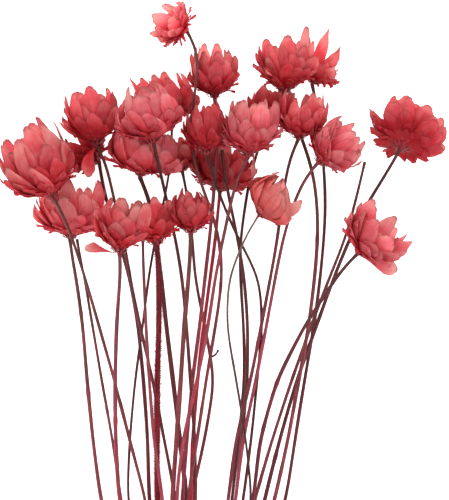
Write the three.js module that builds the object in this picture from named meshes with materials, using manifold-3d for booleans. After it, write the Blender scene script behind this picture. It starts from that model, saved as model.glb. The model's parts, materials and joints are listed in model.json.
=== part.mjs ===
// A bunch of dyed dried daisies, laid on a table and held by one twine tie. Millimetres.
// While the bunch is laid out, y runs from the tie (0) to the heads, x runs to the right
// and z is the height over the table. The group is centred on its own box at the end.

import * as THREE from "three";
import { mergeVertices } from "three/addons/utils/BufferGeometryUtils.js";
import Module from "manifold-3d";

const wasm = await Module();
wasm.setup();

// Driving dimensions of the stems and the bundle.
const STEM_SIDES = 5;
const STEM_GAP = 0.35; // air between two stems that pass each other
const HEAD_GAP = 0.6; // air between a stem and a head that it passes
const SEAT_GAP = 0.3; // air between a head and its own stem, or a stem and the tie
const TIE_RADIUS = 0.62; // thickest stem radius inside the tie
const PITCH = 1.6; // spacing of the stems inside the tie
const TIE_X = -12;
const TIE_WIDTH = 8;
const TIE_THICKNESS = 1.1;
const CUT_END = -20; // mean place of the cut ends below the tie
const CUT_SPREAD = 3; // the cut ends stand up to this much above or below it
const CUT_FLARE = 1.2; // the stems spread by this much again below the tie
const BUNDLE_HEIGHT = 6; // height of the middle of the bundle
const TIE_HALF_GRIP = 7; // half the length over which the stems run straight through the tie
const TIE_SQUEEZE = 1.05; // a stem is this much thicker in the tie, where its place allows
const GRIP_END = 20; // above this a stem's radius goes over to its own
const GRIP_BLEND = 60;
const NECK_TAPER = 0.18; // share of its radius that a stem loses toward its head
const TAPER_START = 150;
const TOP_STATIONS = [5, 1.8, 0]; // the last stations, counted down from a stem's top
const TOP_CLEAR = 8; // no other station lies this close to the top
const STATIONS = [-7, 7, 28, 52, 76, 100, 120, 140, 158, 174, 187, 198, 208, 218, 228, 238, 248];

// Heights of the six layers of stems: where they leave the lower edge of the view, and at the heads.
const EDGE_Y = 100;
const HEADS_Y = 183;
const EDGE_HEIGHTS = [4.5, 6.9, 9.3, 11.7, 14.1, 16.5];
const HEADS_HEIGHTS = [6, 9.5, 13.5, 18, 21.5, 25];
const SINK_LENGTH = 60; // a stem needs this much length to come down into its layer
const LAYER_ROWS = [55, 100, 140, 183]; // where a stem lies at the height of its layer
const SETTLE_ROUNDS = 160; // small moves until no two stems touch
const SETTLE_FROM = 13; // below this the tie holds the stems
const SETTLE_TO = 255;
const FLOOR_AIR = 0.2; // air between a stem and the table

// The bunch is laid out as an eye sees it from this height over the middle of the heads.
const EYE_HEIGHT = 926;
const EYE_Y = 183.3;
const SIGHT_HEIGHT = 25;

// Driving dimensions of the heads.
const PETAL_THICKNESS = 0.8;
const SHINGLE = 0.45; // one edge of a petal lies this much over its neighbour
const OUTER_SECTIONS = [[0.06, 0.2], [0.42, 0.8], [0.74, 1], [0.93, 0.6]]; // share of length, width
const INNER_SECTIONS = [[0.2, 0.3], [0.5, 0.8], [0.82, 0.9]];
const CORE_SIDES = 5;
const PETAL_LAYERS = [
  { reach: 1, rise: 0.86, flare: 0.08, sections: OUTER_SECTIONS },
  { reach: 0.7, rise: 1, flare: -0.05, sections: INNER_SECTIONS },
]; // shares of the head's radius and length, and how much further open than the head
const PETAL_WIDTH = 0.86; // share of its place in the ring that a petal fills
const SPIKES = 4; // bracts that stand out from the foot of a head
const SPIKE_LENGTH = 3.4;
const SPIKE_HALF_WIDTH = 0.5;
const BAND_SIDES = 20;

const PETAL_COLOURS = { coral: 0xcd4650, pink: 0xdd6f72, deep: 0xb42c36, salmon: 0xd9675f };
const STEM_COLOURS = { brown: 0x5c3230, wine: 0x7a3540, red: 0xa52433, grey: 0x776058 };
const TWINE_COLOUR = 0xb59a6c;

// Where the stems cross six lines across the view, 16.67 mm apart, the last at its lower edge.
const ROWS_Y = [183.3, 166.7, 150, 133.3, 116.7, 100];

// base is the top of the stem, middle the centre of the head; open runs from 0, a closed globe,
// to 1, a flat star; bend lists points of the stem below the head; layer 1 is the lowest.
const FLOWERS = [
  {
    base: [-12.5, 256.3, 29.6], middle: [-17.5, 259.3, 30.4], radius: 7.4, length: 14.4, open: 0.8,
    petals: [6, 4], layer: 5, slot: -1, thick: 0.56, petal: "pink", stem: "brown",
    bend: [
      [-9.8, 254.3, 29.2], [-8.5, 251, 29.6], [-8.2, 246.7, 30], [-9.2, 238.3, 29.4],
      [-10.5, 233.3, 27], [-11.5, 229.3, 25], [-11.2, 216.7, 23.6], [-9.2, 208.3, 23.2],
      [-5.5, 200, 23], [-2.8, 191.3, 22.6],
    ],
    rows: [-0.6, -1.2, -4.8, -7, -9.7, -12.5],
  },
  {
    base: [-3.2, 233.7, 22], middle: [-3.5, 242.7, 23], radius: 7.6, length: 19.6, open: 0.5,
    petals: [7, 4], layer: 3, slot: 0, thick: 0.66, petal: "coral", stem: "wine",
    bend: [[-2.5, 228.3, 22.6], [-2.5, 216.7, 23.2], [-3.2, 206.7, 23], [-3.7, 200, 21], [-4.8, 190, 17.5]],
    rows: [-5.2, -7.5, -9, -11.8, -12.8, -14.2],
  },
  {
    base: [19.9, 235.3, 22.4], middle: [20.3, 245.3, 22.8], radius: 10, length: 23, open: 0.65,
    petals: [7, 5], layer: 3, slot: 2, thick: 0.66, petal: "coral", stem: "brown",
    bend: [[26.2, 219.7, 20], [29.2, 211.7, 19.5], [30.8, 201.7, 18], [31.2, 186.7, 16]],
    rows: [30.8, 29.4, 26.7, 23.5, 20.5, 16.7],
  },
  {
    base: [29.2, 238.6, 7.9], middle: [32.8, 247.2, 8], radius: 7.8, length: 19, open: 0.8,
    petals: [6, 4], layer: 1, slot: 2, thick: 0.6, petal: "coral", stem: "brown",
    bend: [[31.2, 230, 8.5], [33.2, 210, 7.5], [33.8, 200, 7], [33.5, 190, 6.5]],
    rows: [32.7, 31.2, 28.5, 25.5, 23, 20.5],
  },
  {
    base: [-42.6, 218.3, 20.6], middle: [-45, 230.7, 20.8], radius: 8.6, length: 22, open: 0.5,
    petals: [7, 4], layer: 3, slot: -1, thick: 0.56, petal: "coral", stem: "brown",
    bend: [[-40.5, 216, 20], [-38.2, 206.7, 18.5], [-36.5, 198.7, 17]],
    rows: [-32.8, -30.3, -26.2, -22.5, -19.5, -16.2],
  },
  {
    base: [-23.6, 218.8, 34.6], middle: [-26.2, 228, 35.2], radius: 9.9, length: 20, open: 0.25,
    petals: [7, 5], layer: 4, slot: 0, thick: 0.6, petal: "pink", stem: "brown",
    bend: [[-22.2, 213.3, 31.5], [-20.5, 205, 27], [-18.8, 198, 22.5], [-17, 190, 20.5]],
    rows: [-15.5, -13.2, -12.2, -10.8, -9.7, -9.7],
  },
  {
    base: [-28.2, 207.7, 19], middle: [-27, 216.7, 20], radius: 11.6, length: 18, open: 0.5,
    petals: [8, 4], layer: 2, slot: 0, thick: 0.8, petal: "pink", stem: "brown",
    bend: [[-27.2, 205.5, 18.8], [-24.8, 200, 17]],
    rows: [-22.2, -20.3, -18.5, -16.3, -14.5, -12.5],
  },
  {
    base: [-5.8, 215, 28.2], middle: [-6.5, 223.3, 28.6], radius: 6.6, length: 18, open: 0.4,
    petals: [6, 4], layer: 4, slot: 1, thick: 0.5, petal: "deep", stem: "brown",
    bend: [
      [-3.8, 206.7, 26], [-2.5, 201.7, 25], [0.5, 196.7, 24], [2.5, 191.7, 23],
      [5.2, 185.7, 22], [8.5, 180, 21], [12.8, 171.7, 20],
    ],
    rows: [6.8, 13.4, 11.8, 10.3, 8.5, 6.2],
  },
  {
    base: [7.8, 214, 33.8], middle: [8.6, 224.3, 34.2], radius: 9.4, length: 21.6, open: 0.6,
    petals: [7, 5], layer: 6, slot: 0, thick: 0.6, petal: "pink", stem: "wine",
    bend: [[4.2, 208.3, 31], [2.2, 200, 30], [0.5, 190, 28.5]],
    rows: [-1.6, -4.2, -6.7, -10.8, -14.5, -16.2],
  },
  {
    base: [24.5, 220, 28.6], middle: [25.4, 227.7, 28.8], radius: 7.9, length: 16.5, open: 0.55,
    petals: [6, 4], layer: 5, slot: 0, thick: 0.6, petal: "coral", stem: "wine",
    bend: [[22.8, 217.7, 27], [21.5, 213.3, 26.3], [20.2, 206.3, 25], [18.2, 191.7, 24]],
    rows: [17.2, 13.8, 10.8, 7.2, 3, 1.2],
  },
  {
    base: [30.8, 212, 32.4], middle: [37.7, 218.6, 32.8], radius: 8.6, length: 19, open: 0.6,
    petals: [7, 4], layer: 5, slot: 1, thick: 0.6, petal: "pink", stem: "wine",
    bend: [[27.8, 209.3, 29.5], [25.2, 204.3, 27.5], [23.8, 201, 26.5], [20.5, 191.7, 24.5]],
    rows: [18.8, 15.5, 12.6, 9, 5.5, 3.7],
  },
  {
    base: [58.6, 217, 19], middle: [60, 222.8, 14.6], radius: 12.2, length: 17.5, open: 0.95,
    petals: [9, 5], layer: 2, slot: 3, thick: 0.66, petal: "coral", stem: "brown",
    bend: [[55.2, 210.7, 19], [51.8, 205.7, 17], [48.5, 200.7, 14.5]],
    rows: [40, 33.8, 27.8, 21.8, 17.5, 13.3],
  },
  {
    base: [-56.6, 200.1, 26.6], middle: [-62.9, 212.6, 27.2], radius: 11.8, length: 29, open: 0.6,
    petals: [8, 5], layer: 3, slot: -2, thick: 0.56, petal: "coral", stem: "brown",
    bend: [[-53.8, 195.7, 25.8], [-51.5, 189.3, 25], [-49.8, 184.5, 23]],
    rows: [-49.2, -44.2, -39.7, -34.8, -30.8, -26.3],
  },
  {
    base: [-51.5, 186.7, 11.4], middle: [-50.8, 196, 11.4], radius: 12, length: 22.5, open: 0.75,
    petals: [8, 4], layer: 1, slot: -2, thick: 0.66, petal: "pink", stem: "brown",
    bend: [[-50.9, 181, 10.5]],
    rows: [-50.6, -48, -46.7, -45.2, -43.5, -41.3],
  },
  {
    base: [-41.8, 212.7, 9.5], middle: [-47.2, 217.3, 8], radius: 7.8, length: 15, open: 0.95,
    petals: [6, 4], layer: 1, slot: -1, thick: 0.66, petal: "deep", stem: "wine",
    bend: [[-41, 206.7, 10], [-39.5, 200, 9], [-36.5, 190, 8]],
    rows: [-34.2, -29.7, -28.2, -26.3, -25.5, -25.2],
  },
  {
    base: [-35, 182.1, 36.8], middle: [-34.6, 192, 38.7], radius: 8.4, length: 19.2, open: 0.6,
    petals: [7, 4], layer: 4, slot: -2, thick: 0.7, petal: "coral", stem: "wine",
    bend: [[-34.5, 178.5, 31.5]],
    rows: [-34.5, -35.5, -36.3, -36.5, -36.2, -35.2],
  },
  {
    base: [-11.2, 188.7, 34.6], middle: [-11, 196, 35.4], radius: 5.9, length: 14.6, open: 0.3,
    petals: [6, 4], layer: 5, slot: -2, thick: 0.8, petal: "deep", stem: "brown",
    bend: [[-11.3, 184, 31.5]],
    rows: [-11.3, -12.5, -14.2, -14.8, -16.3, -17.5],
  },
  {
    base: [-1.5, 202.7, 12], middle: [-0.8, 210, 10.6], radius: 10.4, length: 17, open: 0.6,
    petals: [8, 4], layer: 2, slot: 1, thick: 0.66, petal: "deep", stem: "red",
    bend: [[-2, 198, 11.5], [-2.8, 190, 10]],
    rows: [-3.3, -5.9, -7.8, -9.7, -10.8, -11.2],
  },
  {
    base: [11.2, 194.6, 33], middle: [17, 200.6, 34], radius: 7.6, length: 16, open: 0.15,
    petals: [6, 4], layer: 6, slot: 1, thick: 0.4, petal: "salmon", stem: "grey",
    bend: [[8.5, 190.7, 31], [5.2, 185.7, 29.5], [2.8, 179.3, 27.5], [0.8, 171.7, 26]],
    rows: [4.2, 0.3, 1.5, 5.5, 7.5, 9.2],
  },
  {
    base: [44.2, 181.9, 27.6], middle: [50.8, 188.9, 28.6], radius: 12, length: 19, open: 0.85,
    petals: [8, 5], layer: 4, slot: 2, thick: 0.66, petal: "pink", stem: "wine",
    bend: [[40.2, 178.3, 26], [36.8, 173.3, 25]],
    rows: [44.5, 32.5, 21.8, 15.2, 11.2, 9.6],
  },
  {
    base: [-14, 209.3, 7.6], middle: [-15.7, 216, 6.4], radius: 6, length: 12.6, open: 0.5,
    petals: [5, 4], layer: 1, slot: 0, thick: 0.56, petal: "coral", stem: "brown",
    bend: [[-12.5, 202.7, 8]],
    rows: [-10.3, -9.2, -4.2, -3.5, -7.5, -11.2],
  },
  {
    base: [14, 226.4, 9], middle: [15, 232, 7.6], radius: 6.4, length: 12.4, open: 0.5,
    petals: [5, 4], layer: 1, slot: 1, thick: 0.56, petal: "deep", stem: "brown",
    bend: [[11.8, 218.3, 9], [9.2, 212.7, 8.5], [7.8, 203.3, 8], [5.8, 190.7, 7]],
    rows: [4.8, 5.8, 6.8, 6.4, 4.2, 2.5],
  },
  {
    base: [-17.5, 225, 11], middle: [-20.6, 234, 11], radius: 10.4, length: 18.5, open: 0.65,
    petals: [7, 4], layer: 2, slot: -1, thick: 0.45, petal: "coral", stem: "brown",
    bend: [[-17.5, 216.7, 11], [-18.2, 209, 11], [-20.5, 198.3, 10]],
    rows: [-23.9, -26.3, -28.2, -30.8, -31.8, -32.5],
  },
  {
    base: [-22.5, 184.7, 25], middle: [-23.2, 193.3, 25.3], radius: 8.7, length: 17.8, open: 0.6,
    petals: [7, 4], layer: 4, slot: -1, thick: 0.95, petal: "coral", stem: "red",
    bend: [[-22.2, 180, 23.5]],
    rows: [-22.2, -21.5, -22.2, -22.5, -22.5, -22.5],
  },
];

// Stems that end bare: base is the broken end.
const BARE_STEMS = [
  {
    base: [46.8, 212.7, 17], layer: 2, slot: 2, thick: 0.56, stem: "brown",
    bend: [[45.8, 208.3, 17], [43.8, 200, 16], [42.8, 196, 15], [40.8, 188.3, 12.5]],
    rows: [38.5, 32.2, 25.8, 20.2, 14.8, 10],
  },
  {
    base: [-0.8, 216.7, 23.4], layer: 3, slot: 1, thick: 0.6, stem: "brown",
    bend: [[0.2, 206.7, 23], [1.2, 201.7, 21.5], [2.8, 195, 19], [4.5, 186.7, 17]],
    rows: [5.2, 7.5, 7.8, 7.2, 5.5, 3.7],
  },
  {
    base: [-49.2, 187, 5], layer: 2, slot: -2, thick: 0.5, stem: "brown",
    bend: [[-48.9, 185, 5]],
    rows: [-48.2, -45.3, -42.8, -39.7, -36.8, -34.5],
  },
  {
    base: [-27.2, 186.5, 23], layer: 6, slot: -1, thick: 0.56, stem: "wine",
    bend: [[-27.2, 182, 22.6]],
    rows: [-27.2, -26.5, -25.8, -24.6, -23.2, -20.6],
  },
];

// A repeatable stream of numbers from 0 to 1.
function seeded(seed) {
  let state = seed;
  return () => {
    state = (state * 1664525 + 1013904223) % 4294967296;
    return state / 4294967296;
  };
}

const mix = (a, b, t) => a + (b - a) * t;
const vector = ([x, y, z]) => new THREE.Vector3(x, y, z);

// A layout point as it lies on its line of sight: what is nearer the eye stands nearer the middle.
function inSight(x, y, z) {
  const scale = 1 - (z - SIGHT_HEIGHT) / EYE_HEIGHT;
  return new THREE.Vector3(x * scale, EYE_Y + (y - EYE_Y) * scale, z);
}

// Closed skin over rings of points, run from end to end; a ring of one point is a tip.
// Both faces of a flat blade get the same diagonals.
function skin(rings) {
  const points = rings.flat();
  const starts = [];
  rings.reduce((start, ring) => {
    starts.push(start);
    return start + ring.length;
  }, 0);
  const faces = [];
  for (let k = 0; k + 1 < rings.length; k++) {
    const [a, b] = [starts[k], starts[k + 1]];
    const sides = Math.max(rings[k].length, rings[k + 1].length);
    for (let i = 0; i < sides; i++) {
      const j = (i + 1) % sides;
      if (rings[k + 1].length === 1) faces.push(a + i, a + j, b);
      else if (rings[k].length === 1) faces.push(a, b + j, b + i);
      else if (i < sides / 2) faces.push(a + i, a + j, b + j, a + i, b + j, b + i);
      else faces.push(a + i, a + j, b + i, a + j, b + j, b + i);
    }
  }
  for (const [ring, start, first] of [[rings[0], starts[0], true], [rings.at(-1), starts.at(-1), false]]) {
    for (let i = 1; i + 1 < ring.length; i++) {
      if (first) faces.push(start, start + i + 1, start + i);
      else faces.push(start, start + i, start + i + 1);
    }
  }
  const geometry = new THREE.BufferGeometry().setFromPoints(points);
  geometry.setIndex(faces);
  return geometry;
}

// A closed geometry as a manifold-3d solid, and back.
function solid(geometry) {
  const bare = geometry.clone();
  bare.deleteAttribute("normal");
  bare.deleteAttribute("uv");
  const merged = mergeVertices(bare, 1e-4);
  return new wasm.Manifold(
    new wasm.Mesh({
      numProp: 3,
      vertProperties: new Float32Array(merged.attributes.position.array),
      triVerts: new Uint32Array(merged.index.array),
    }),
  );
}

function geometryOf(body) {
  const mesh = body.getMesh();
  const geometry = new THREE.BufferGeometry();
  geometry.setAttribute("position", new THREE.BufferAttribute(new Float32Array(mesh.vertProperties), 3));
  geometry.setIndex(new THREE.BufferAttribute(new Uint32Array(mesh.triVerts), 1));
  return geometry;
}

// The largest body of a solid: sealed hollows and loose scraps are left out.
function wholeBody(body) {
  return body.decompose().reduce((best, piece) => (piece.volume() > best.volume() ? piece : best));
}

// Smooth value at y through [y, value] knots that rise in y.
function through(knots, y) {
  const last = knots.length - 1;
  let k = knots.findIndex((knot) => knot[0] > y) - 1;
  if (k === -2) k = last - 1;
  k = Math.min(Math.max(k, 0), last - 1);
  const slope = (a, b) => (knots[b][1] - knots[a][1]) / (knots[b][0] - knots[a][0]);
  const atKnot = (i) => (i === 0 || i === last ? slope(...(i ? [i - 1, i] : [0, 1])) : slope(i - 1, i + 1));
  const span = knots[k + 1][0] - knots[k][0];
  const t = Math.min(Math.max((y - knots[k][0]) / span, 0), 1);
  const [v0, v1] = [knots[k][1], knots[k + 1][1]];
  const [m0, m1] = [atKnot(k) * span, atKnot(k + 1) * span];
  const t2 = t * t;
  const t3 = t2 * t;
  return (2 * t3 - 3 * t2 + 1) * v0 + (t3 - 2 * t2 + t) * m0 + (3 * t2 - 2 * t3) * v1 + (t3 - t2) * m1;
}

// Place of a stem inside the tie: rows of a honeycomb, the lowest layer first.
function slotOf(stem) {
  const half = stem.layer % 2 ? 0 : 0.5;
  return [
    TIE_X + (stem.slot + half) * PITCH,
    TIE_THICKNESS + SEAT_GAP + TIE_RADIUS + ((stem.layer - 1) * PITCH * Math.sqrt(3)) / 2,
  ];
}

// Height of a stem's layer at y, between its place in the tie and the heads.
function layerHeight(stem, y) {
  const edge = EDGE_HEIGHTS[stem.layer - 1];
  if (y < EDGE_Y) return mix(slotOf(stem)[1], edge, Math.max(y, 0) / EDGE_Y);
  const t = Math.min((y - EDGE_Y) / (HEADS_Y - EDGE_Y), 1);
  return mix(edge, HEADS_HEIGHTS[stem.layer - 1], t);
}

// First layout of a stem: stations from its cut end to its top, each [x, y, z].
function layStem(stem, index) {
  const [slotX, slotZ] = slotOf(stem);
  const [, baseY] = stem.base;
  const upper = [stem.base, ...stem.bend];
  const lowY = upper.at(-1)[1];
  const cut = CUT_END + CUT_SPREAD * Math.sin(2.4 * index);
  const cutX = mix(TIE_X, slotX, CUT_FLARE);
  const cutZ = mix(BUNDLE_HEIGHT, slotZ, CUT_FLARE);
  const xKnots = [[cut, cutX], [-TIE_HALF_GRIP, slotX], [TIE_HALF_GRIP, slotX]];
  ROWS_Y.toReversed().forEach((y, i) => {
    if (y < lowY - 3) xKnots.push([y, stem.rows[ROWS_Y.length - 1 - i]]);
  });
  const zKnots = [[cut, cutZ], [-TIE_HALF_GRIP, slotZ], [TIE_HALF_GRIP, slotZ]];
  for (const y of LAYER_ROWS) {
    if (y < lowY - SINK_LENGTH + 1) zKnots.push([y, layerHeight(stem, y)]);
  }
  for (const [drop, share] of [[SINK_LENGTH, 0], [SINK_LENGTH / 2, 0.45]]) {
    const y = lowY - drop;
    if (y > zKnots.at(-1)[0] + 5) zKnots.push([y, mix(layerHeight(stem, y), upper.at(-1)[2], share)]);
  }
  for (const [x, y, z] of upper.toReversed()) {
    xKnots.push([y, x]);
    zKnots.push([y, z]);
  }
  const middleYs = STATIONS.filter((y) => y < baseY - TOP_CLEAR);
  const ys = [cut, ...middleYs, ...TOP_STATIONS.map((drop) => baseY - drop)];
  return ys.map((y) => [through(xKnots, y), y, through(zKnots, y)]);
}

// Radius of a stem at y: inside the tie no stem is thicker than its place allows.
function stemRadius(stem, y) {
  const inTie = Math.min(stem.thick * TIE_SQUEEZE, TIE_RADIUS);
  const t = Math.min(Math.max((y - GRIP_END) / GRIP_BLEND, 0), 1);
  const neck = Math.min(Math.max((y - TAPER_START) / (stem.base[1] - TAPER_START + 1), 0), 1);
  const taper = 1 - NECK_TAPER * neck;
  return mix(inTie, stem.thick * taper, t);
}

// Where a stem's centre line is at y, with the stations on both sides and their shares.
function lineAt(line, y) {
  let k = 0;
  while (k < line.length - 2 && line[k + 1][1] < y) k++;
  const t = (y - line[k][1]) / (line[k + 1][1] - line[k][1]);
  return { k, t, x: mix(line[k][0], line[k + 1][0], t), z: mix(line[k][2], line[k + 1][2], t) };
}

// The lowest and highest points of a head over a layout point (x, y), with its centre; null beside it.
function headSpan(flower, x, y, clear) {
  const axis = vector(flower.middle).sub(vector(flower.base)).normalize();
  const centre = vector(flower.base).addScaledVector(axis, flower.length / 2);
  const [halfLength, halfWidth] = [flower.length / 2 + clear, flower.radius + clear];
  const inside = (z) => {
    const offset = new THREE.Vector3(x, y, z).sub(centre);
    const along = offset.dot(axis);
    const aside = Math.sqrt(Math.max(offset.lengthSq() - along * along, 0));
    return (along / halfLength) ** 2 + (aside / halfWidth) ** 2 < 1;
  };
  let [low, high] = [null, null];
  for (let z = centre.z - 16; z <= centre.z + 16; z += 0.25) {
    if (!inside(z)) continue;
    if (low === null) low = z;
    high = z;
  }
  return low === null ? null : { low, high, centre: centre.z };
}

// Moves stems apart in height where they would touch each other or a head that they pass.
function settle(stems, lines) {
  const free = lines.map((line) => line.map(([, y], k) => y > SETTLE_FROM - 1 && k < line.length - 2));
  const push = (s, spot, dx, dz) => {
    [[spot.k, 1 - spot.t], [spot.k + 1, spot.t]].forEach(([k, share]) => {
      if (!free[s][k] || share <= 0) return;
      lines[s][k][0] += dx * share * 1.2;
      lines[s][k][2] += dz * share * 1.2;
    });
  };
  const spans = [];
  stems.forEach((stem, s) => {
    for (let y = 120; y < stem.base[1] - 2; y += 2.5) {
      FLOWERS.forEach((flower, f) => {
        if (f === s) return;
        const spot = lineAt(lines[s], y);
        const span = headSpan(flower, spot.x, y, HEAD_GAP + stem.thick);
        if (span) spans.push({ s, y, low: span.low, high: span.high, over: spot.z > span.centre });
      });
    }
  });
  for (let round = 0; round < SETTLE_ROUNDS; round++) {
    for (let y = SETTLE_FROM; y < SETTLE_TO; y += 3) {
      const spots = lines.map((line, s) => (y < stems[s].base[1] - 1.5 ? lineAt(line, y) : null));
      for (let a = 0; a < stems.length; a++) {
        for (let b = a + 1; b < stems.length; b++) {
          if (!spots[a] || !spots[b]) continue;
          const need = (stemRadius(stems[a], y) + stemRadius(stems[b], y) + STEM_GAP) * 1.08;
          const dx = spots[a].x - spots[b].x;
          const dz = spots[a].z - spots[b].z;
          if (dx * dx + dz * dz >= need * need) continue;
          const up = Math.abs(dz) > 0.05 ? Math.sign(dz) : Math.sign(stems[a].layer - stems[b].layer + 0.5);
          const short = Math.sqrt(need * need - dx * dx) - Math.abs(dz);
          const share = Math.min(short, 0.6) / 2;
          push(a, spots[a], 0, up * share);
          push(b, spots[b], 0, -up * share);
        }
      }
    }
    for (const { s, y, low, high, over } of spans) {
      const spot = lineAt(lines[s], y);
      if (over && spot.z < high) push(s, spot, 0, Math.min(high - spot.z, 0.5));
      if (!over && spot.z > low) push(s, spot, 0, Math.max(low - spot.z, -0.5));
    }
    lines.forEach((line, s) => {
      for (let k = 1; k < line.length - 1; k++) {
        if (!free[s][k]) continue;
        line[k][2] = Math.max(line[k][2], stems[s].thick + FLOOR_AIR);
      }
    });
  }
}

// A stem as a tube through its stations, thinner toward the head.
function stemGeometry(stem, line) {
  const points = line.map((point) => inSight(...point));
  const rings = points.map((point, k) => {
    const ahead = points[Math.min(k + 1, points.length - 1)];
    const behind = points[Math.max(k - 1, 0)];
    const along = ahead.clone().sub(behind).normalize();
    const side = new THREE.Vector3(0, 0, 1).cross(along).normalize();
    const over = along.clone().cross(side);
    const radius = stemRadius(stem, line[k][1]);
    return Array.from({ length: STEM_SIDES }, (_, i) => {
      const angle = (2 * Math.PI * i) / STEM_SIDES + Math.PI / 2;
      return point
        .clone()
        .addScaledVector(side, radius * Math.cos(angle))
        .addScaledVector(over, radius * Math.sin(angle));
    });
  });
  return skin(rings);
}

// A head's own directions, with the place of a point at an angle round its axis.
function headFrame(flower, top) {
  const base = inSight(...flower.base);
  const axis = inSight(...flower.middle).sub(base).normalize();
  const side = new THREE.Vector3(0, 0, 1).cross(axis).normalize();
  const over = axis.clone().cross(side);
  base.addScaledVector(axis, SEAT_GAP + top * 0.1);
  return (angle, radius, height) =>
    base
      .clone()
      .addScaledVector(axis, height)
      .addScaledVector(side, radius * Math.cos(angle))
      .addScaledVector(over, radius * Math.sin(angle));
}

// The smaller heart that the petals stand out of, on its receptacle.
function heart(place, flower) {
  const { radius, length, open } = flower;
  const profile = [
    [flower.thick + 0.35, 0],
    [radius * 0.3 + 0.5, length * 0.09],
    [radius * mix(0.66, 0.5, open), length * mix(0.34, 0.25, open)],
    [radius * mix(0.58, 0.42, open), length * mix(0.6, 0.4, open)],
  ];
  const rings = profile.map(([wide, high]) =>
    Array.from({ length: CORE_SIDES }, (_, i) => place((2 * Math.PI * i) / CORE_SIDES, wide, high)),
  );
  return skin([...rings, [place(0, 0, length * mix(0.78, 0.48, open))]]);
}

// One papery petal: a blade with a flat inner and an arched outer face, three points to a section,
// that follows a bent line from the receptacle to its tip.
function petal(place, flower, { angle, width, reach, rise, flare, sections }) {
  const { radius, length } = flower;
  const open = Math.min(Math.max(flower.open + flare, 0), 1.1);
  const line = new THREE.QuadraticBezierCurve(
    new THREE.Vector2(radius * 0.16, length * 0.08),
    new THREE.Vector2(radius * reach * mix(1.75, 1.0, open), length * mix(0.3, 0.2, open)),
    new THREE.Vector2(radius * reach * mix(0.45, 1.12, open), length * rise * mix(1, 0.78, open)),
  );
  const rings = sections.map(([along, share]) => {
    const point = line.getPoint(along);
    const [out, high] = [Math.max(point.x, 0.8), point.y];
    const turn = Math.min((width * share) / 2 / Math.max(out, 1.5), 0.7);
    const arch = Math.max(PETAL_THICKNESS - out * (1 - Math.cos(turn)), 0.1);
    const lap = SHINGLE * Math.min(along * 2, 1);
    return [
      place(angle - turn, out + lap, high),
      place(angle, out + arch, high),
      place(angle + turn, out - lap, high),
    ];
  });
  const tip = line.getPoint(1);
  return skin([...rings, [place(angle, tip.x, tip.y)]]);
}

// A small pointed bract that stands out from the foot of the head.
function spike(place, flower, angle, length) {
  const foot = flower.length * 0.07;
  const out = flower.radius * 0.22;
  const turn = SPIKE_HALF_WIDTH / out;
  const ring = [
    place(angle - turn, out, foot + 0.3),
    place(angle + turn, out, foot + 0.3),
    place(angle, out, foot - 0.4),
  ];
  return skin([ring.toReversed(), [place(angle, out + length, foot + length * 0.25)]]);
}

// The head fused from its heart, two layers of petals and the bracts at its foot.
function headSolid(flower, number) {
  const random = seeded(61 * number + 11);
  const place = headFrame(flower, flower.thick);
  const pieces = [heart(place, flower)];
  PETAL_LAYERS.forEach((layer, l) => {
    const count = flower.petals[l];
    const start = random() * Math.PI;
    for (let i = 0; i < count; i++) {
      const angle = start + (2 * Math.PI * (i + 0.22 * (random() - 0.5))) / count;
      const width = ((2 * Math.PI * flower.radius * layer.reach) / count) * PETAL_WIDTH;
      const rise = layer.rise * (0.94 + 0.12 * random());
      const flare = layer.flare + 0.25 * (random() - 0.5);
      pieces.push(petal(place, flower, { ...layer, angle, width, rise, flare }));
    }
  });
  for (let i = 0; i < SPIKES; i++) {
    const angle = (2 * Math.PI * (i + random() * 0.6)) / SPIKES;
    pieces.push(spike(place, flower, angle, SPIKE_LENGTH * (0.7 + 0.6 * random())));
  }
  return pieces.map(solid).reduce((whole, piece) => whole.add(piece));
}

// Everything below the table, to be cut away.
function underTable() {
  const depth = 40;
  const slab = new THREE.BoxGeometry(400, 400, depth);
  slab.translate(0, 150, -depth / 2);
  return solid(slab);
}

// A band round the stems in the tie, a set distance outside them, as an outline in (x, z).
function bandOutline(discs, gap) {
  const support = Array.from({ length: BAND_SIDES }, (_, i) => {
    const angle = (2 * Math.PI * i) / BAND_SIDES - Math.PI / 2;
    const [nx, nz] = [Math.cos(angle), Math.sin(angle)];
    const far = Math.max(...discs.map(([x, z, radius]) => x * nx + z * nz + radius));
    return [nx, nz, far + gap];
  });
  return support.map(([ax, az, a], i) => {
    const [bx, bz, b] = support[(i + 1) % BAND_SIDES];
    const cross = ax * bz - az * bx;
    return new THREE.Vector2((a * bz - b * az) / cross, (b * ax - a * bx) / cross);
  });
}

// The tie as one closed band that stands for its turns of twine.
function tieGeometry(stems, lines) {
  const discs = stems.map((stem, s) => {
    const spot = lineAt(lines[s], 0);
    const point = inSight(spot.x, 0, spot.z);
    return [point.x, point.z, stemRadius(stem, 0)];
  });
  const outline = new THREE.Shape(bandOutline(discs, SEAT_GAP + TIE_THICKNESS));
  outline.holes.push(new THREE.Path(bandOutline(discs, SEAT_GAP).toReversed()));
  const band = new THREE.ExtrudeGeometry(outline, { depth: TIE_WIDTH, bevelEnabled: false });
  band.rotateX(Math.PI / 2);
  band.translate(0, inSight(0, 0, 5).y + TIE_WIDTH / 2, 0);
  return band;
}

// Adds one named mesh to the bunch.
function addMesh(group, name, geometry, colour, roughness) {
  const material = new THREE.MeshStandardMaterial({ color: colour, roughness, metalness: 0 });
  const mesh = new THREE.Mesh(geometry, material);
  mesh.name = name;
  group.add(mesh);
  return mesh;
}

const stems = [...FLOWERS, ...BARE_STEMS];
const lines = stems.map(layStem);
settle(stems, lines);

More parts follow.
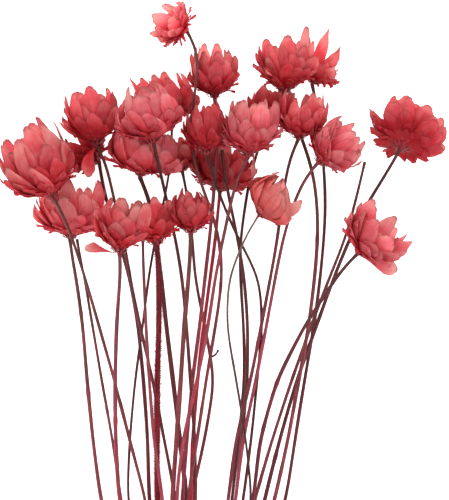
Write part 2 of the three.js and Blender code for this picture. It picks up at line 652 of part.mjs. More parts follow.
const bunch = new THREE.Group();
const table = underTable();
FLOWERS.forEach((flower, i) => {
  const head = wholeBody(headSolid(flower, i + 1).subtract(table));
  const number = String(i + 1).padStart(2, "0");
  addMesh(bunch, "bloom_" + number, geometryOf(head), PETAL_COLOURS[flower.petal], 0.75);
});
stems.forEach((stem, i) => {
  const bare = i - FLOWERS.length + 1;
  const name = bare > 0 ? "bare_stem_" + bare : "stem_" + String(i + 1).padStart(2, "0");
  addMesh(bunch, name, stemGeometry(stem, lines[i]), STEM_COLOURS[stem.stem], 0.7);
});
addMesh(bunch, "tie", tieGeometry(stems, lines), TWINE_COLOUR, 0.9);

const box = new THREE.Box3().setFromObject(bunch);
const centre = box.getCenter(new THREE.Vector3());
bunch.position.set(-centre.x, -centre.y, -box.min.z);

export default bunch;
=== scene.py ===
"""A tied bunch of dyed dried daisies, lying on its side on a pale floor, seen from above.

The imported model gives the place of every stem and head. Each head is dressed with thin cupped
petals in rings, a seed cup and bracts. Each stem becomes a ribbed stalk with small knots, and
the tie is wound from two-ply twine.
"""
import json

import bpy
import numpy as np
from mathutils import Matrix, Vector


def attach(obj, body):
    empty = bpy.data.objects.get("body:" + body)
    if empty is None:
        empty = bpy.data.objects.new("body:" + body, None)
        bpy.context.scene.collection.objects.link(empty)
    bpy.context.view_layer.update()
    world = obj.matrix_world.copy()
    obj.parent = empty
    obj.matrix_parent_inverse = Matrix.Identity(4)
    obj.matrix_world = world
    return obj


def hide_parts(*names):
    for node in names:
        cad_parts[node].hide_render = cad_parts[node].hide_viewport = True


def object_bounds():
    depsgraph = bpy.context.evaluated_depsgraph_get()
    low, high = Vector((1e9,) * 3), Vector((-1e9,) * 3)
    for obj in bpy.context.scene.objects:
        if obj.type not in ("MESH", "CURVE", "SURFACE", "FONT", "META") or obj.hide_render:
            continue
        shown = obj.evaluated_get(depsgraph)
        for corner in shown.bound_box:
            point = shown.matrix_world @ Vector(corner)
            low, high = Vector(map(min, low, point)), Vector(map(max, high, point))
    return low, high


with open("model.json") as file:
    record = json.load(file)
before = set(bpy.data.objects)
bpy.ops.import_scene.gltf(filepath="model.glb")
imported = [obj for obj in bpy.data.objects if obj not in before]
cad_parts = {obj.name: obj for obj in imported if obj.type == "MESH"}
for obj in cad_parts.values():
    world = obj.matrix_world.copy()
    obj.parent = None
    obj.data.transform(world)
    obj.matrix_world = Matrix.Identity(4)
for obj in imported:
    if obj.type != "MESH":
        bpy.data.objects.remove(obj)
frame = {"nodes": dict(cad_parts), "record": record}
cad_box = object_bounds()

MM = 0.001
UP = (0, 0, 1)
STEM_SIDES = 5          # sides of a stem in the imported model
RED_STEM = 24           # the thick stem that is red and furry
TWIG_STEM = 21          # the wavy stem with a short side twig
EASE_ROUNDS = 9         # a path's points are eased this many times

# Points nearer than this to the floor, or a head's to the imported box, begin to press flat.
HEAD_EASE, STEM_EASE, TWINE_EASE, FUR_EASE = 0.6 * MM, 0.3 * MM, 0.2 * MM, 0.1 * MM

# Each head: radius and length in millimetres, how far it is open (0 a globe, 1 a flat star, below
# 0 a bud), petals in a full ring, how wide a petal is as a share of its place in the ring, petals
# that stand away, share of faded petals, and how pointed the petals are (0 round, 1 sharp).
HEADS = {
    1: dict(radius=6.4, length=11.5, opened=0.8, count=10, width=1.0, loose=0, faded=0.2, point=0.05),
    2: dict(radius=7.5, length=19.6, opened=0.5, count=11, width=0.95, loose=0, faded=0.05, point=0.1),
    3: dict(radius=10.4, length=21.5, opened=0.65, count=13, width=0.9, loose=1, faded=0.1, point=0.05),
    4: dict(radius=6.4, length=12.0, opened=0.8, count=7, width=0.8, loose=1, faded=0.1, point=0.5),
    5: dict(radius=8.6, length=22.0, opened=0.5, count=9, width=1.0, loose=0, faded=0.1, point=0.0),
    6: dict(radius=9.9, length=20.0, opened=0.25, count=10, width=1.1, loose=1, faded=0.05, point=0.0),
    7: dict(radius=11.6, length=18.0, opened=0.5, count=11, width=1.05, loose=1, faded=0.05, point=0.05),
    8: dict(radius=6.6, length=18.0, opened=0.4, count=11, width=0.95, loose=1, faded=0.0, point=0.3),
    9: dict(radius=9.4, length=21.6, opened=0.6, count=10, width=0.95, loose=1, faded=0.1, point=0.1),
    10: dict(radius=7.9, length=18.6, opened=0.5, count=11, width=0.95, loose=1, faded=0.05, point=0.1),
    11: dict(radius=8.6, length=19.0, opened=0.6, count=10, width=0.95, loose=2, faded=0.3, point=0.3),
    12: dict(radius=12.2, length=17.5, opened=0.95, count=12, width=0.9, loose=0, faded=0.0, point=0.0),
    13: dict(radius=11.8, length=29.0, opened=0.6, count=11, width=1.0, loose=1, faded=0.3, point=0.1),
    14: dict(radius=12.0, length=22.5, opened=0.75, count=12, width=0.95, loose=1, faded=0.3, point=0.15),
    15: dict(radius=7.8, length=15.0, opened=0.95, count=12, width=0.8, loose=1, faded=0.1, point=0.3),
    16: dict(radius=8.8, length=19.4, opened=0.6, count=11, width=0.95, loose=2, faded=0.1, point=0.2),
    17: dict(radius=5.9, length=14.6, opened=0.3, count=11, width=1.0, loose=0, faded=0.0, point=0.2),
    18: dict(radius=10.4, length=17.0, opened=0.6, count=13, width=0.95, loose=1, faded=0.1, point=0.1),
    19: dict(radius=7.8, length=13.4, opened=-0.3, count=7, width=0.85, loose=0, faded=0.1, point=0.35),
    20: dict(radius=10.5, length=17.0, opened=0.75, count=10, width=0.95, loose=0, faded=0.05, point=0.15),
    21: dict(radius=6.0, length=12.6, opened=0.5, count=9, width=0.9, loose=1, faded=0.2, point=0.2),
    22: dict(radius=6.4, length=12.4, opened=0.5, count=9, width=0.9, loose=1, faded=0.0, point=0.2),
    23: dict(radius=10.4, length=18.5, opened=0.65, count=11, width=0.9, loose=1, faded=0.0, point=0.1),
    24: dict(radius=8.8, length=17.8, opened=0.6, count=11, width=0.95, loose=1, faded=0.15, point=0.15),
}
STRAIGHTER = {3: 0.5, 9: 0.25, 16: 0.6, 20: 0.3, 24: 0.4}   # share by which petals rise straighter
TIPS_ASIDE = {19: 3.2}  # millimetres that the petals' tips lie to the left of the head's axis
USUAL_PALE = 0.15       # how pale a head's dye is, as a share, and the heads that differ, some of them by painted light
# Heads 7, 14 and 24 are paler as painted light, making up for the shade that other heads cast on them.
PALE_DYE_AND_PAINTED_LIGHT = {1: 0.4, 7: 0.25, 12: 0.0, 14: 0.35, 19: 0.22, 24: 0.35}

# Petal rings from the outside in: share of the full count, reach out and rise up as shares of
# the head, part of the line from foot to tip that the petal covers, millimetres its tip curls
# out, width as a share of a full petal's, and how much more pointed it is.
PETAL_RINGS = (
    dict(share=1.1, reach=0.98, rise=1.0, part=0.32, curl=2.0, width=0.48, sharp=0.7),
    dict(share=1.0, reach=1.03, rise=0.95, part=0.46, curl=1.8, width=0.66, sharp=0.45),
    dict(share=0.95, reach=1.04, rise=0.92, part=0.68, curl=1.5, width=0.98, sharp=0.1),
    dict(share=0.85, reach=1.0, rise=0.94, part=0.86, curl=1.1, width=1.2, sharp=0.0),
    dict(share=0.8, reach=0.93, rise=1.0, part=1.0, curl=0.6, width=1.3, sharp=0.0),
    dict(share=0.65, reach=0.76, rise=0.97, part=1.0, curl=0.3, width=1.15, sharp=0.0),
    dict(share=0.55, reach=0.56, rise=0.84, part=1.0, curl=0.0, width=0.9, sharp=0.0),
    dict(share=0.45, reach=0.34, rise=0.64, part=1.0, curl=0.0, width=0.65, sharp=0.0),
)
BUD_RINGS = PETAL_RINGS[:1] + PETAL_RINGS[3:6]
BUD_OPENED = 0.2        # a head no further open than this is a bud, with fewer rings
LEAST_PETALS = 4        # in a ring
RING_TURN = 0.618       # each ring is turned on by this share of a petal's place, the golden share
HEAD_TURN = 0.07        # and each head by this share of a full turn, times its number
STRAY_PART, STRAY_REACH = 0.8, 0.9      # rings with more part and reach than this have stray petals
STRAY_AMOUNT = (0.3, 0.6)   # low and high of how much further they open, and of their twist in radians

# Single petals that the photo shows at some heads: turn about the head in degrees (0 left of the
# axis, 90 toward the eye, 180 right), out and up of the tip and width in millimetres, how far the
# petal opens, how pointed it is, and its twist in degrees.
SINGLE_PETALS = {
    1: (
        (70, 3.4, 14.4, 5.4, 0.6, 0.0, 0),
        (0, 6.2, 11.4, 4.8, 0.9, 0.0, -55),
        (180, 3.6, 11.6, 3.0, 0.7, 0.4, 50),
        (180, 7.4, 6.8, 4.0, 1.0, 0.1, 55),
        (0, 6.7, 4.8, 3.4, 1.0, 0.1, -55),
    ),
    3: (
        (150, 6.6, 22.4, 3.6, 0.5, 0.0, 30),
        (125, 3.4, 21.0, 4.0, 0.5, 0.0, 15),
        (180, 8.2, 19.3, 2.8, 0.6, 0.1, 60),
        (0, 5.7, 15.8, 4.8, 0.7, 0.0, -50),
        (0, 9.2, 11.0, 2.2, 0.9, 1.0, -40),
    ),
    4: (
        (80, 6.0, 18.2, 5.0, 0.5, 0.9, 0),
        (170, 4.5, 15.2, 4.2, 0.8, 0.9, 60),
        (180, 6.0, 7.4, 2.8, 1.0, 0.2, 75),
    ),
    5: (
        (0, 11.6, 11.5, 1.4, 1.0, 0.8, -75),
        (0, 5.0, -9.8, 7.0, 1.0, 0.0, -80),
    ),
    11: ((180, 6.0, 15.5, 3.4, 0.8, 0.3, 60),),
    13: ((0, 6.4, 22.0, 5.0, 0.3, 0.0, -60),),
    15: ((0, 3.4, 8.5, 3.4, 0.9, 0.1, -60),),
    16: (
        (0, 12.4, 3.2, 5.0, 1.0, 0.0, -75),
        (180, 5.6, 20.2, 6.6, 0.4, 0.0, 50),
        (165, 8.6, 18.6, 6.2, 0.5, 0.0, 45),
        (100, 2.4, 20.6, 6.4, 0.3, 0.0, 0),
    ),
    19: (
        (180, 6.4, 13.8, 6.4, 0.4, 0.5, 55),
        (180, 8.0, 8.0, 5.4, 0.8, 0.3, 55),
        (0, 5.4, 14.6, 5.4, 0.3, 0.4, -50),
    ),
    20: (
        (25, 9.0, 17.8, 6.8, 0.8, 0.0, -50),
        (100, 4.0, 19.4, 5.8, 0.4, 0.1, 0),
        (180, 9.5, 15.8, 5.6, 0.9, 0.2, 60),
        (180, 13.0, 6.9, 5.4, 1.0, 0.0, 70),
        (0, 12.1, 8.9, 3.0, 1.0, 0.9, -75),
    ),
    23: (
        (15, 7.6, 21.6, 3.6, 0.6, 0.6, -45),
        (25, 4.8, 20.6, 5.0, 0.5, 0.1, -40),
        (70, 2.0, 20.8, 5.4, 0.4, 0.0, -10),
        (150, 2.6, 17.0, 5.0, 0.5, 0.0, 30),
    ),
}
SINGLE_FADE_AND_PAINTED_LIGHT = 7        # single petals are faded this many times as often as a head's others, partly as painted light for the shade they hang in
SINGLE_CURL = 0.3       # millimetres
SINGLE_STRAIGHT = 0.6   # share by which they rise straighter

# The line of a petal: foot, bend and tip, out as shares of its reach and up as shares of the
# head's length. A bend or tip is given for a globe, and by how much it changes for a flat star.
FOOT_OUT, FOOT_UP = 0.15, 0.07
BEND_OUT, BEND_UP = (1.75, -0.75), (0.3, -0.1)
TIP_OUT, TIP_UP = (0.45, 0.62), (1, -0.22)
STRAIGHT_OUT, STRAIGHT_UP = 0.55, 0.45      # bend of a straight petal, as shares of its tip
STRAY_DROP = 0.25       # share of its rise that a petal loses when it stands away
OPENED_LIMITS = (-0.5, 1.15)
GLOBE_CURL = 0.35       # share of a ring's curl on a globe, which grows to 1 as the head opens
LEAST_HOLLOW = 0.3      # share of the head's radius: no petal is cupped tighter than this

# The outline of a petal, given for a round one, and by how much it changes for a sharp one: share
# of its length where it is widest, fall of the parabola past that place, and the parabola's power.
WIDEST, TIP_FALL, TIP_POWER = (0.66, -0.14), (0.74, 0.2), (0.5, 0.5)
FOOT_WIDTH, FOOT_POWER = 0.3, 1.3       # width of its foot as a share, and power of the sine from there
TIP_ROUND = 0.55        # its corners are cut back by a half circle times this share of the half width
TIP_CIRCLE = 0.97       # share of that circle's square, which leaves out its steep ends
TIP_POINT = 0.1         # share of its length by which a sharp petal's edges are cut back as well
TIP_THIN = 0.5          # share of its thickness that is gone at its tip

# How the petals of a ring differ: low and high of each random draw.
PETAL_DRAWS = dict(
    opened=(-0.16, 0.16),       # added to how far the head is open
    reach=(0.94, 1.04),         # shares of the ring's reach, rise, part and width
    rise=(0.88, 1.05),
    part=(0.92, 1.06),
    width=(0.88, 1.14),
    point=(-0.4, 0.1),          # added to how pointed the petal is
    cup=(0.5, 1.2),             # share of the hollow that follows the head's own roundness
    crease=(0.0, 0.3),          # millimetres that the middle line sinks
    ripple=(0.05, 0.3),         # millimetres that the edges wave
    waves=(7, 12),              # radians of that wave from foot to tip, and where it starts
    wave_start=(0, 6.3),
    curl=(0.3, 1.5),            # share of the ring's curl
    tip=(-0.3, 0.9),            # millimetres that the very tip bends out
    roll=(0.02, 0.42),          # rise of one edge and fall of the other, as a share of the half width
    turn=(-0.18, 0.18),         # radians about the axis, of the petal and of its tip
    tip_turn=(-0.12, 0.12),
)
CUP_FADE = 0.3          # share of a petal's cup that is gone at its tip
CREASE_WIDTH = 0.3      # share of its half width
TONE_SPREAD = 0.35      # how much paler one petal of a head can be than another
FADED_SHARES, FRESH_SHARES = (0.4, 0.85), (0, 0.15)     # how faded those petals are, and all the others
PETAL_ROWS = 7
PETAL_COLUMNS = 5
ROW_CROWDING = 1.5      # rows of a petal stand closer together toward its tip
COLUMN_SWING = 0.42     # columns stand as sines up to this share of a half turn, closer at the edges
PETAL_SKIN = 0.2        # millimetres, thickest place of a petal
RIM_SKIN = 0.02         # millimetres, at its edge
SHARP = 1.2             # radians: edges bent more than this, as a petal's rim is, shade as edges

BRACTS = 22             # round each head, in two rows
BRACT_DRAWS = dict(     # low and high
    size=(1.8, 4.0),            # length in millimetres
    bow=(0.2, 1.0),             # how far it bends up, as a share
    width=(0.7, 1.2),           # share of the usual half width
    turn=(-0.15, 0.15),         # radians about the head's axis
)
BRACT_ROWS, BRACT_COLUMNS = 5, 3
BRACT_CLEAR = 0.5       # millimetres from the stem's side to the feet of the lower row
UPPER_OUT = 0.16        # the upper row stands further out by this share of the head's radius
BRACT_HEIGHT = (0.02, 0.06)     # shares of the head's length: the lower row, and how much higher the other
BRACT_OUT, BRACT_UP = (0.95, -0.2), (0.1, 0.9)      # straight and bent part of its line, as shares
BRACT_HALF, BRACT_TIP = 0.5, 0.02       # millimetres, half its width at the foot and at the tip
BRACT_SKIN = 0.12       # millimetres, thickest place
BRACT_THIN = 0.7        # share of its thickness that is gone at its tip

# Stalks. A swell is a share of the stem's radius.
STALK_ROWS, STALK_SIDES, STALK_RIBS, STALK_KNOTS = 96, 10, 5, 4
STALK_GIRTH = 1.02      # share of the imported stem's radius
CUT_BACK = 0.1 * MM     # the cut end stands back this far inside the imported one
RIB_SWELL, WAVE_SWELL, KNOT_SWELL, FLARE_SWELL = 0.09, 0.05, 0.22, 0.3
RIB_TURN = 3            # radians from the cut end to the head
WAVE_COUNT = (5, 9)     # low and high, from the cut end to the head
KNOT_PLACES = (0.12, 0.92)      # shares of the stem's length between which the knots lie
KNOT_REACH, FLARE_REACH = 0.6 * MM, 1.4 * MM

FUR_HAIRS = 9000
FUR_ROWS = 500          # of the red stem's line
FUR_ROOT = 0.85         # share of the stem's radius at which hairs start
FUR_LENGTH = (0.7, 2.1)         # millimetres, low and high
FUR_LEAN = (0.1, 0.9)   # toward the head, as shares of how far they stand off
FUR_HALF, FUR_THICK = 0.1, 0.04         # millimetres at the root, half the width and the thickness
FUR_TONE = 0.3          # hairs have the stem's colour at this share of its length

TWIG_LINE, TWIG_START = 200, 146        # rows of its stem's line, and the one that it leaves from
TWIG_REACH, TWIG_BOW = (2.6, 2.4, 0.8), (0.3, -0.4, 0.2)    # millimetres in X, Y and Z
TWIG_RADIUS, TWIG_TAPER, TWIG_NUB = 0.42, 0.14, 0.16        # millimetres
NUB_PLACE, NUB_WIDTH = 0.95, 0.12       # shares of its length
TWIG_ROWS, TWIG_SIDES = 12, 7

TWINE_TURNS = 7
TWINE_ROWS = 160        # in a turn
TWINE_SIDES = 10
TWINE_ROOM = 0.52 * MM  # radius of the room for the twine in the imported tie
TWINE_FILL = 0.84       # share of that radius that the twine's own mean radius is
TWINE_GUIDE = (0.1, 1, 0.05)    # nearly along the stems, and never along the twine
PLY_SWELL = 0.2         # share of the radius by which the two plies stand out
PLY_REACH = 0.55 * MM   # length in which the plies turn by half a radian
MEAN_ROWS = 13          # the turns are eased by a running mean over so many rows
KNOT_SINK = 0.4 * MM    # the twine's knot lies this far into the turns
LOOP_ROWS, LOOPS = 120, 2
LOOP_WIDE, LOOP_LONG, LOOP_HIGH, LOOP_DROP = 1.5, 1.1, 0.35, 0.1        # millimetres
LOOP_FLARE, LOOP_WAVES = 0.3, 1.5       # share of its width that it swells, and waves in a loop
TAIL_START, TAIL_RUN, TAIL_BEND = (0.8, 1.2, 0.1), (5.4, 6.5, 0.0), (0.0, -2.2, -2.6)   # millimetres
LOOP_CLOSE, TAIL_CLOSE = 0.95, 0.92     # shares of the twine's radius

PALETTES = {            # foot, lower, upper and tip of a petal
    "petals_coral": ("ce1e28", "dc3a44", "e6666e", "ec908e"),
    "petals_pink": ("d02430", "e04c58", "ea7e86", "eea4a3"),
    "petals_deep": ("b81c26", "cc2c38", "d85058", "de7476"),
    "petals_salmon": ("d63c44", "e46664", "ec908c", "eeaca6"),
}
FADED_UPPER, FADED_TIP = "efb2aa", "e6b0a4"     # of petals that took the dye badly
PETAL_RIM = "a8303e"
STEM_TONES = {          # cut end, middle and head end of a stem
    "stem_brown": ("62242a", "66282e", "4a2722"),
    "stem_wine": ("732933", "782b36", "5a2a2e"),
    "stem_red": ("a42231", "981e2d", "7e1c27"),
    "stem_grey": ("3c161c", "482423", "6a5448"),
}

# First seeds of the random draws. The number of the head or stem is added.
PETAL_SEED, BRACT_SEED, STALK_SEED, FUR_SEED = 4100, 7300, 9100, 5100

VIEW_PLACE = (0.0, 0.0634, 0.951)       # metres
VIEW_LENS, VIEW_SENSOR = 200, 36        # millimetres
KEY_LIGHT = dict(place=(-0.25, 0.62, 0.62), size=0.5, watts=3.9)
FILL_LIGHT = dict(place=(0.5, -0.1, 0.7), size=0.8, watts=2.0)
LIT_POINT = (0, 0.06, 0.02)
FLOOR_HALF = 4          # metres
FLOOR_GLOW = 0.9        # the floor shines by itself, as the photo's ground is plain white


def linear(code, opacity=1.0):
    """Linear colour of a six-digit screen colour, by the standard curve: a twelfth of it low down,
    a 2.4 power above."""
    parts = np.array([int(code[i:i + 2], 16) for i in (0, 2, 4)]) / 255
    curve = np.where(parts <= 0.04045, parts / 12.92, ((parts + 0.055) / 1.055) ** 2.4)
    return (*curve.tolist(), opacity)


def unit(vectors):
    """Vectors of length one."""
    return vectors / np.linalg.norm(vectors, axis=-1, keepdims=True)


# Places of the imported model's stems and heads.

def points_of(node):
    """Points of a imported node, each once, to a hundredth of a millimetre."""
    mesh = frame["nodes"][node].data
    flat = np.empty(len(mesh.vertices) * 3)
    mesh.vertices.foreach_get("co", flat)
    return np.unique(flat.reshape(-1, 3).round(5), axis=0)


def rings_of(node):
    """Middles and radii of a stem's rings, from its cut end up: its points sorted along Y, and taken
    by the sides of a ring."""
    points = points_of(node)
    rings = points[np.argsort(points[:, 1], kind="stable")].reshape(-1, STEM_SIDES, 3)
    middles = rings.mean(axis=1)
    radii = np.linalg.norm(rings - middles[:, None], axis=2).mean(axis=1)
    return middles, radii


def stem_line(node, count):
    """Middles and radii of a stem at evenly spaced places, as rows of x, y, z and radius, and its length."""
    middles, radii = rings_of(node)
    return resample(np.column_stack((middles, radii)), count)


def head_frame(number):
    """Foot, side, over and axis of a head: the foot is the top of its stem, and the axis runs from it
    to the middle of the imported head's points."""
    foot = rings_of(f"stem_{number:02d}")[0][-1]
    axis = unit(points_of(f"bloom_{number:02d}").mean(axis=0) - foot)
    side = unit(np.cross(UP, axis))
    return foot, side, np.cross(axis, side), axis


# Meshes.

def make_piece(name, points, faces, corners, node, slot, finishes, finish_index=None, tint=None):
    """A mesh object from points, faces and one UV pair per face corner, which rides on the bunch in
    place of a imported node."""
    mesh = bpy.data.meshes.new(name)
    mesh.from_pydata(points.tolist(), [], faces)
    mesh.polygons.foreach_set("use_smooth", np.ones(len(faces), bool))
    mesh.set_sharp_from_angle(angle=SHARP)
    layer = mesh.uv_layers.new(name="UVMap")
    layer.data.foreach_set("uv", np.asarray(corners, np.float32).ravel())
    if tint is not None:
        attribute = mesh.attributes.new("tint", "FLOAT_COLOR", "POINT")
        attribute.data.foreach_set("color", np.asarray(tint, np.float32).ravel())
    for finish in finishes:
        mesh.materials.append(finish)
    if finish_index is not None:
        mesh.polygons.foreach_set("material_index", np.asarray(finish_index, np.int32))
    mesh.validate()
    piece = bpy.data.objects.new(name, mesh)
    bpy.context.scene.collection.objects.link(piece)
    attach(piece, "root")
    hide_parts(node)
    return piece


def sheet_faces(rows, columns):
    """Faces of a thin closed sheet: a front grid, and a back grid turned round that shares its rim."""
    front = np.arange(rows * columns).reshape(rows, columns)
    back = front.copy()
    inner = np.arange((rows - 2) * (columns - 2)).reshape(rows - 2, columns - 2)
    back[1:-1, 1:-1] = rows * columns + inner

    def quads(index):
        corners = (index[:-1, :-1], index[:-1, 1:], index[1:, 1:], index[1:, :-1])
        return np.stack(corners, axis=-1).reshape(-1, 4)

    return np.concatenate((quads(front), quads(back)[:, ::-1]))


def sheets(front, back, tint):
    """Many closed sheets as one mesh. Fronts and backs are arrays of sheet, row, column and coordinate,
    and tint has a row for each sheet."""
    count, rows, columns, _ = front.shape
    inside = (rows - 2) * (columns - 2)
    points = np.concatenate((
        front.reshape(count, -1, 3),
        back[:, 1:-1, 1:-1].reshape(count, inside, 3),
    ), axis=1)
    across, along = np.meshgrid(np.linspace(0, 1, columns), np.linspace(0, 1, rows))
    places = np.stack((across, along), axis=-1)
    places = np.concatenate((places.reshape(-1, 2), places[1:-1, 1:-1].reshape(-1, 2)))
    template = sheet_faces(rows, columns)
    faces = template[None] + (np.arange(count) * points.shape[1])[:, None, None]
    corners = np.tile(places[template], (count, 1, 1, 1))
    tints = np.repeat(tint[:, None], points.shape[1], axis=1)
    return points.reshape(-1, 3), faces.reshape(-1, 4), corners.reshape(-1, 4, 2), tints.reshape(-1, 4)


def tube(rings):
    """Points, faces and corners of a tube over an array of rings, closed at each end by a middle point."""
    count, sides, _ = rings.shape
    index = np.arange(count * sides).reshape(count, sides)
    turned = np.roll(index, -1, axis=1)
    quads = np.stack((index[:-1], turned[:-1], turned[1:], index[1:]), axis=-1).reshape(-1, 4)
    around, along = np.meshgrid(np.arange(sides) / sides, np.linspace(0, 1, count))
    low = np.stack((around, along), axis=-1)
    high = low + (1 / sides, 0)
    corners = np.stack((low[:-1], high[:-1], high[1:], low[1:]), axis=2).reshape(-1, 4, 2)
    first, last = count * sides, count * sides + 1
    foot = np.stack((turned[0], index[0], np.full(sides, first)), axis=-1)
    top = np.stack((index[-1], turned[-1], np.full(sides, last)), axis=-1)
    foot_corners = np.stack((high[0], low[0], low[0]), axis=1)
    top_corners = np.stack((low[-1], high[-1], low[-1]), axis=1)
    points = np.concatenate((rings.reshape(-1, 3), rings[[0, -1]].mean(axis=1)))
    return (
        points,
        quads.tolist() + foot.tolist() + top.tolist(),
        np.concatenate((corners.reshape(-1, 2), foot_corners.reshape(-1, 2), top_corners.reshape(-1, 2))),
    )


def join(parts):
    """One set of points, faces and corners from several, with the number of its part for each face."""
    points, faces, corners, numbers, start = [], [], [], [], 0
    for number, (part_points, part_faces, part_corners) in enumerate(parts):
        points.append(part_points)
        faces.extend([[corner + start for corner in face] for face in part_faces])
        corners.append(np.asarray(part_corners).reshape(-1, 2))
        numbers.extend([number] * len(part_faces))
        start += len(part_points)
    return np.concatenate(points), faces, np.concatenate(corners), numbers


def resample(path, count):
    """A path's points spaced evenly along its length, then eased in rounds, each halfway toward the mean
    of their neighbours, and the length."""
    steps = np.linalg.norm(np.diff(path, axis=0), axis=1)
    reach = np.concatenate(([0], np.cumsum(steps)))
    places = np.linspace(0, reach[-1], count)
    eased = np.stack([np.interp(places, reach, path[:, i]) for i in range(path.shape[1])], axis=1)
    for _ in range(EASE_ROUNDS):
        eased[1:-1] = eased[:-2] / 4 + eased[1:-1] / 2 + eased[2:] / 4
    return eased, reach[-1]


def sweep(path, radii, guide):
    """Rings across a path. At each place and angle the ring stands off by its radius, times the cosine
    along a side less the sine along an over. Both are square to the path, and the side to the guide."""
    heading = unit(np.gradient(path, axis=0))
    side = unit(np.cross(heading, guide))
    over = np.cross(side, heading)
    angles = 2 * np.pi * np.arange(radii.shape[1]) / radii.shape[1]
    out = side[:, None] * np.cos(angles)[None, :, None] - over[:, None] * np.sin(angles)[None, :, None]
    return path[:, None] + out * radii[:, :, None]


def pressed(depth, ease):
    """Depths behind a plane that are less than ease, or below zero, become ease times the exponential
    of depth over ease less one, so they never reach the plane."""
    return np.where(depth < ease, ease * np.exp(np.minimum(depth / ease, 1) - 1), depth)


def above_floor(points, ease):
    """Points that would sink below the floor, or nearly, are pressed flat just above it."""
    points[..., 2] = pressed(points[..., 2], ease)
    return points


def inside_box(points):
    """A head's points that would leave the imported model's box, or nearly, are pressed flat inside it."""
    low, high = np.array(cad_box[0]), np.array(cad_box[1])
    points = low + pressed(points - low, HEAD_EASE)
    return high - pressed(high - points, HEAD_EASE)


# Heads.

def about_head(place, level, cross, high):
    """Points of a head from their distances along its side, over and axis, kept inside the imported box."""
    foot, side, over, axis = place
    return inside_box(foot + (level[..., None] * side + cross[..., None] * over + high[..., None] * axis))


def value_at(line, amount):
    """A value on a straight line: its start, plus its change times an amount."""
    start, change = line
    return start + change * amount


def quadratic(run, foot, bend, tip):
    """A quadratic curve at run, which goes from foot to tip and is drawn toward bend, and its slope."""
    value = (1 - run) ** 2 * foot + 2 * run * (1 - run) * bend + run ** 2 * tip
    slope = 2 * (1 - run) * (bend - foot) + 2 * run * (tip - bend)
    return value, slope


def petal_offsets(across, along, half, point):
    """How far each place of a petal is to the side of its middle line. The half width rises as a power of
    a sine from the foot to the widest place, then falls as a root of a parabola. A pointed petal is
    widest lower down and ends narrower than a round one."""
    widest = value_at(WIDEST, point)
    widening = np.sin(np.pi / 2 * np.minimum(along / widest, 1)) ** FOOT_POWER
    swell = FOOT_WIDTH + (1 - FOOT_WIDTH) * widening
    past = np.maximum(along - widest, 0) / (1 - widest)
    taper = (1 - value_at(TIP_FALL, point) * past ** 2) ** value_at(TIP_POWER, point)
    return across * half * swell * taper


def petal_depths(across, along, offset, hollow, ring_curl, each):
    """How far each place of a petal stands off its line, outward: a cup that is a parabola across, over
    the hollow's radius; a crease that is a bell about the middle; edges that ripple as a sine; a tip
    that curls out with the cube of the height; and a roll from one edge to the other."""
    cup = each("cup") * (1 - CUP_FADE * along) * offset ** 2 / (2 * hollow)
    crease = each("crease") * MM * np.exp(-(across / CREASE_WIDTH) ** 2) * along
    ripple = each("ripple") * MM * np.abs(across) ** 3
    ripple = ripple * np.sin(each("waves") * along + each("wave_start")) * along
    curl = ring_curl * each("curl") * MM * along ** 3 + each("tip") * MM * along ** 6
    roll = each("roll") * offset * along
    return roll + curl + ripple - cup - crease


def petal_tints(ring, random, head, count):
    """For each petal of a ring: its paleness, from dye and from painted light on shaded heads; how faded it
    is; and how deep in the head it is.
    """
    # Paleness from the dye, plus painted light on heads that lie in other heads' shade.
    pale = PALE_DYE_AND_PAINTED_LIGHT.get(head["number"], USUAL_PALE)
    tone = pale + TONE_SPREAD * random.uniform(0, 1, count) * (0.4 + 0.6 * ring["part"])
    faded = (random.uniform(0, 1, count) < head["faded"]) * random.uniform(*FADED_SHARES, count)
    faded = np.maximum(faded, random.uniform(*FRESH_SHARES, count))
    layer = np.full(count, 0.5 * ring["part"] + 0.5 * max(0.0, 1 - ring["reach"]))
    return np.stack((tone, faded, layer, np.ones(count)), axis=1)


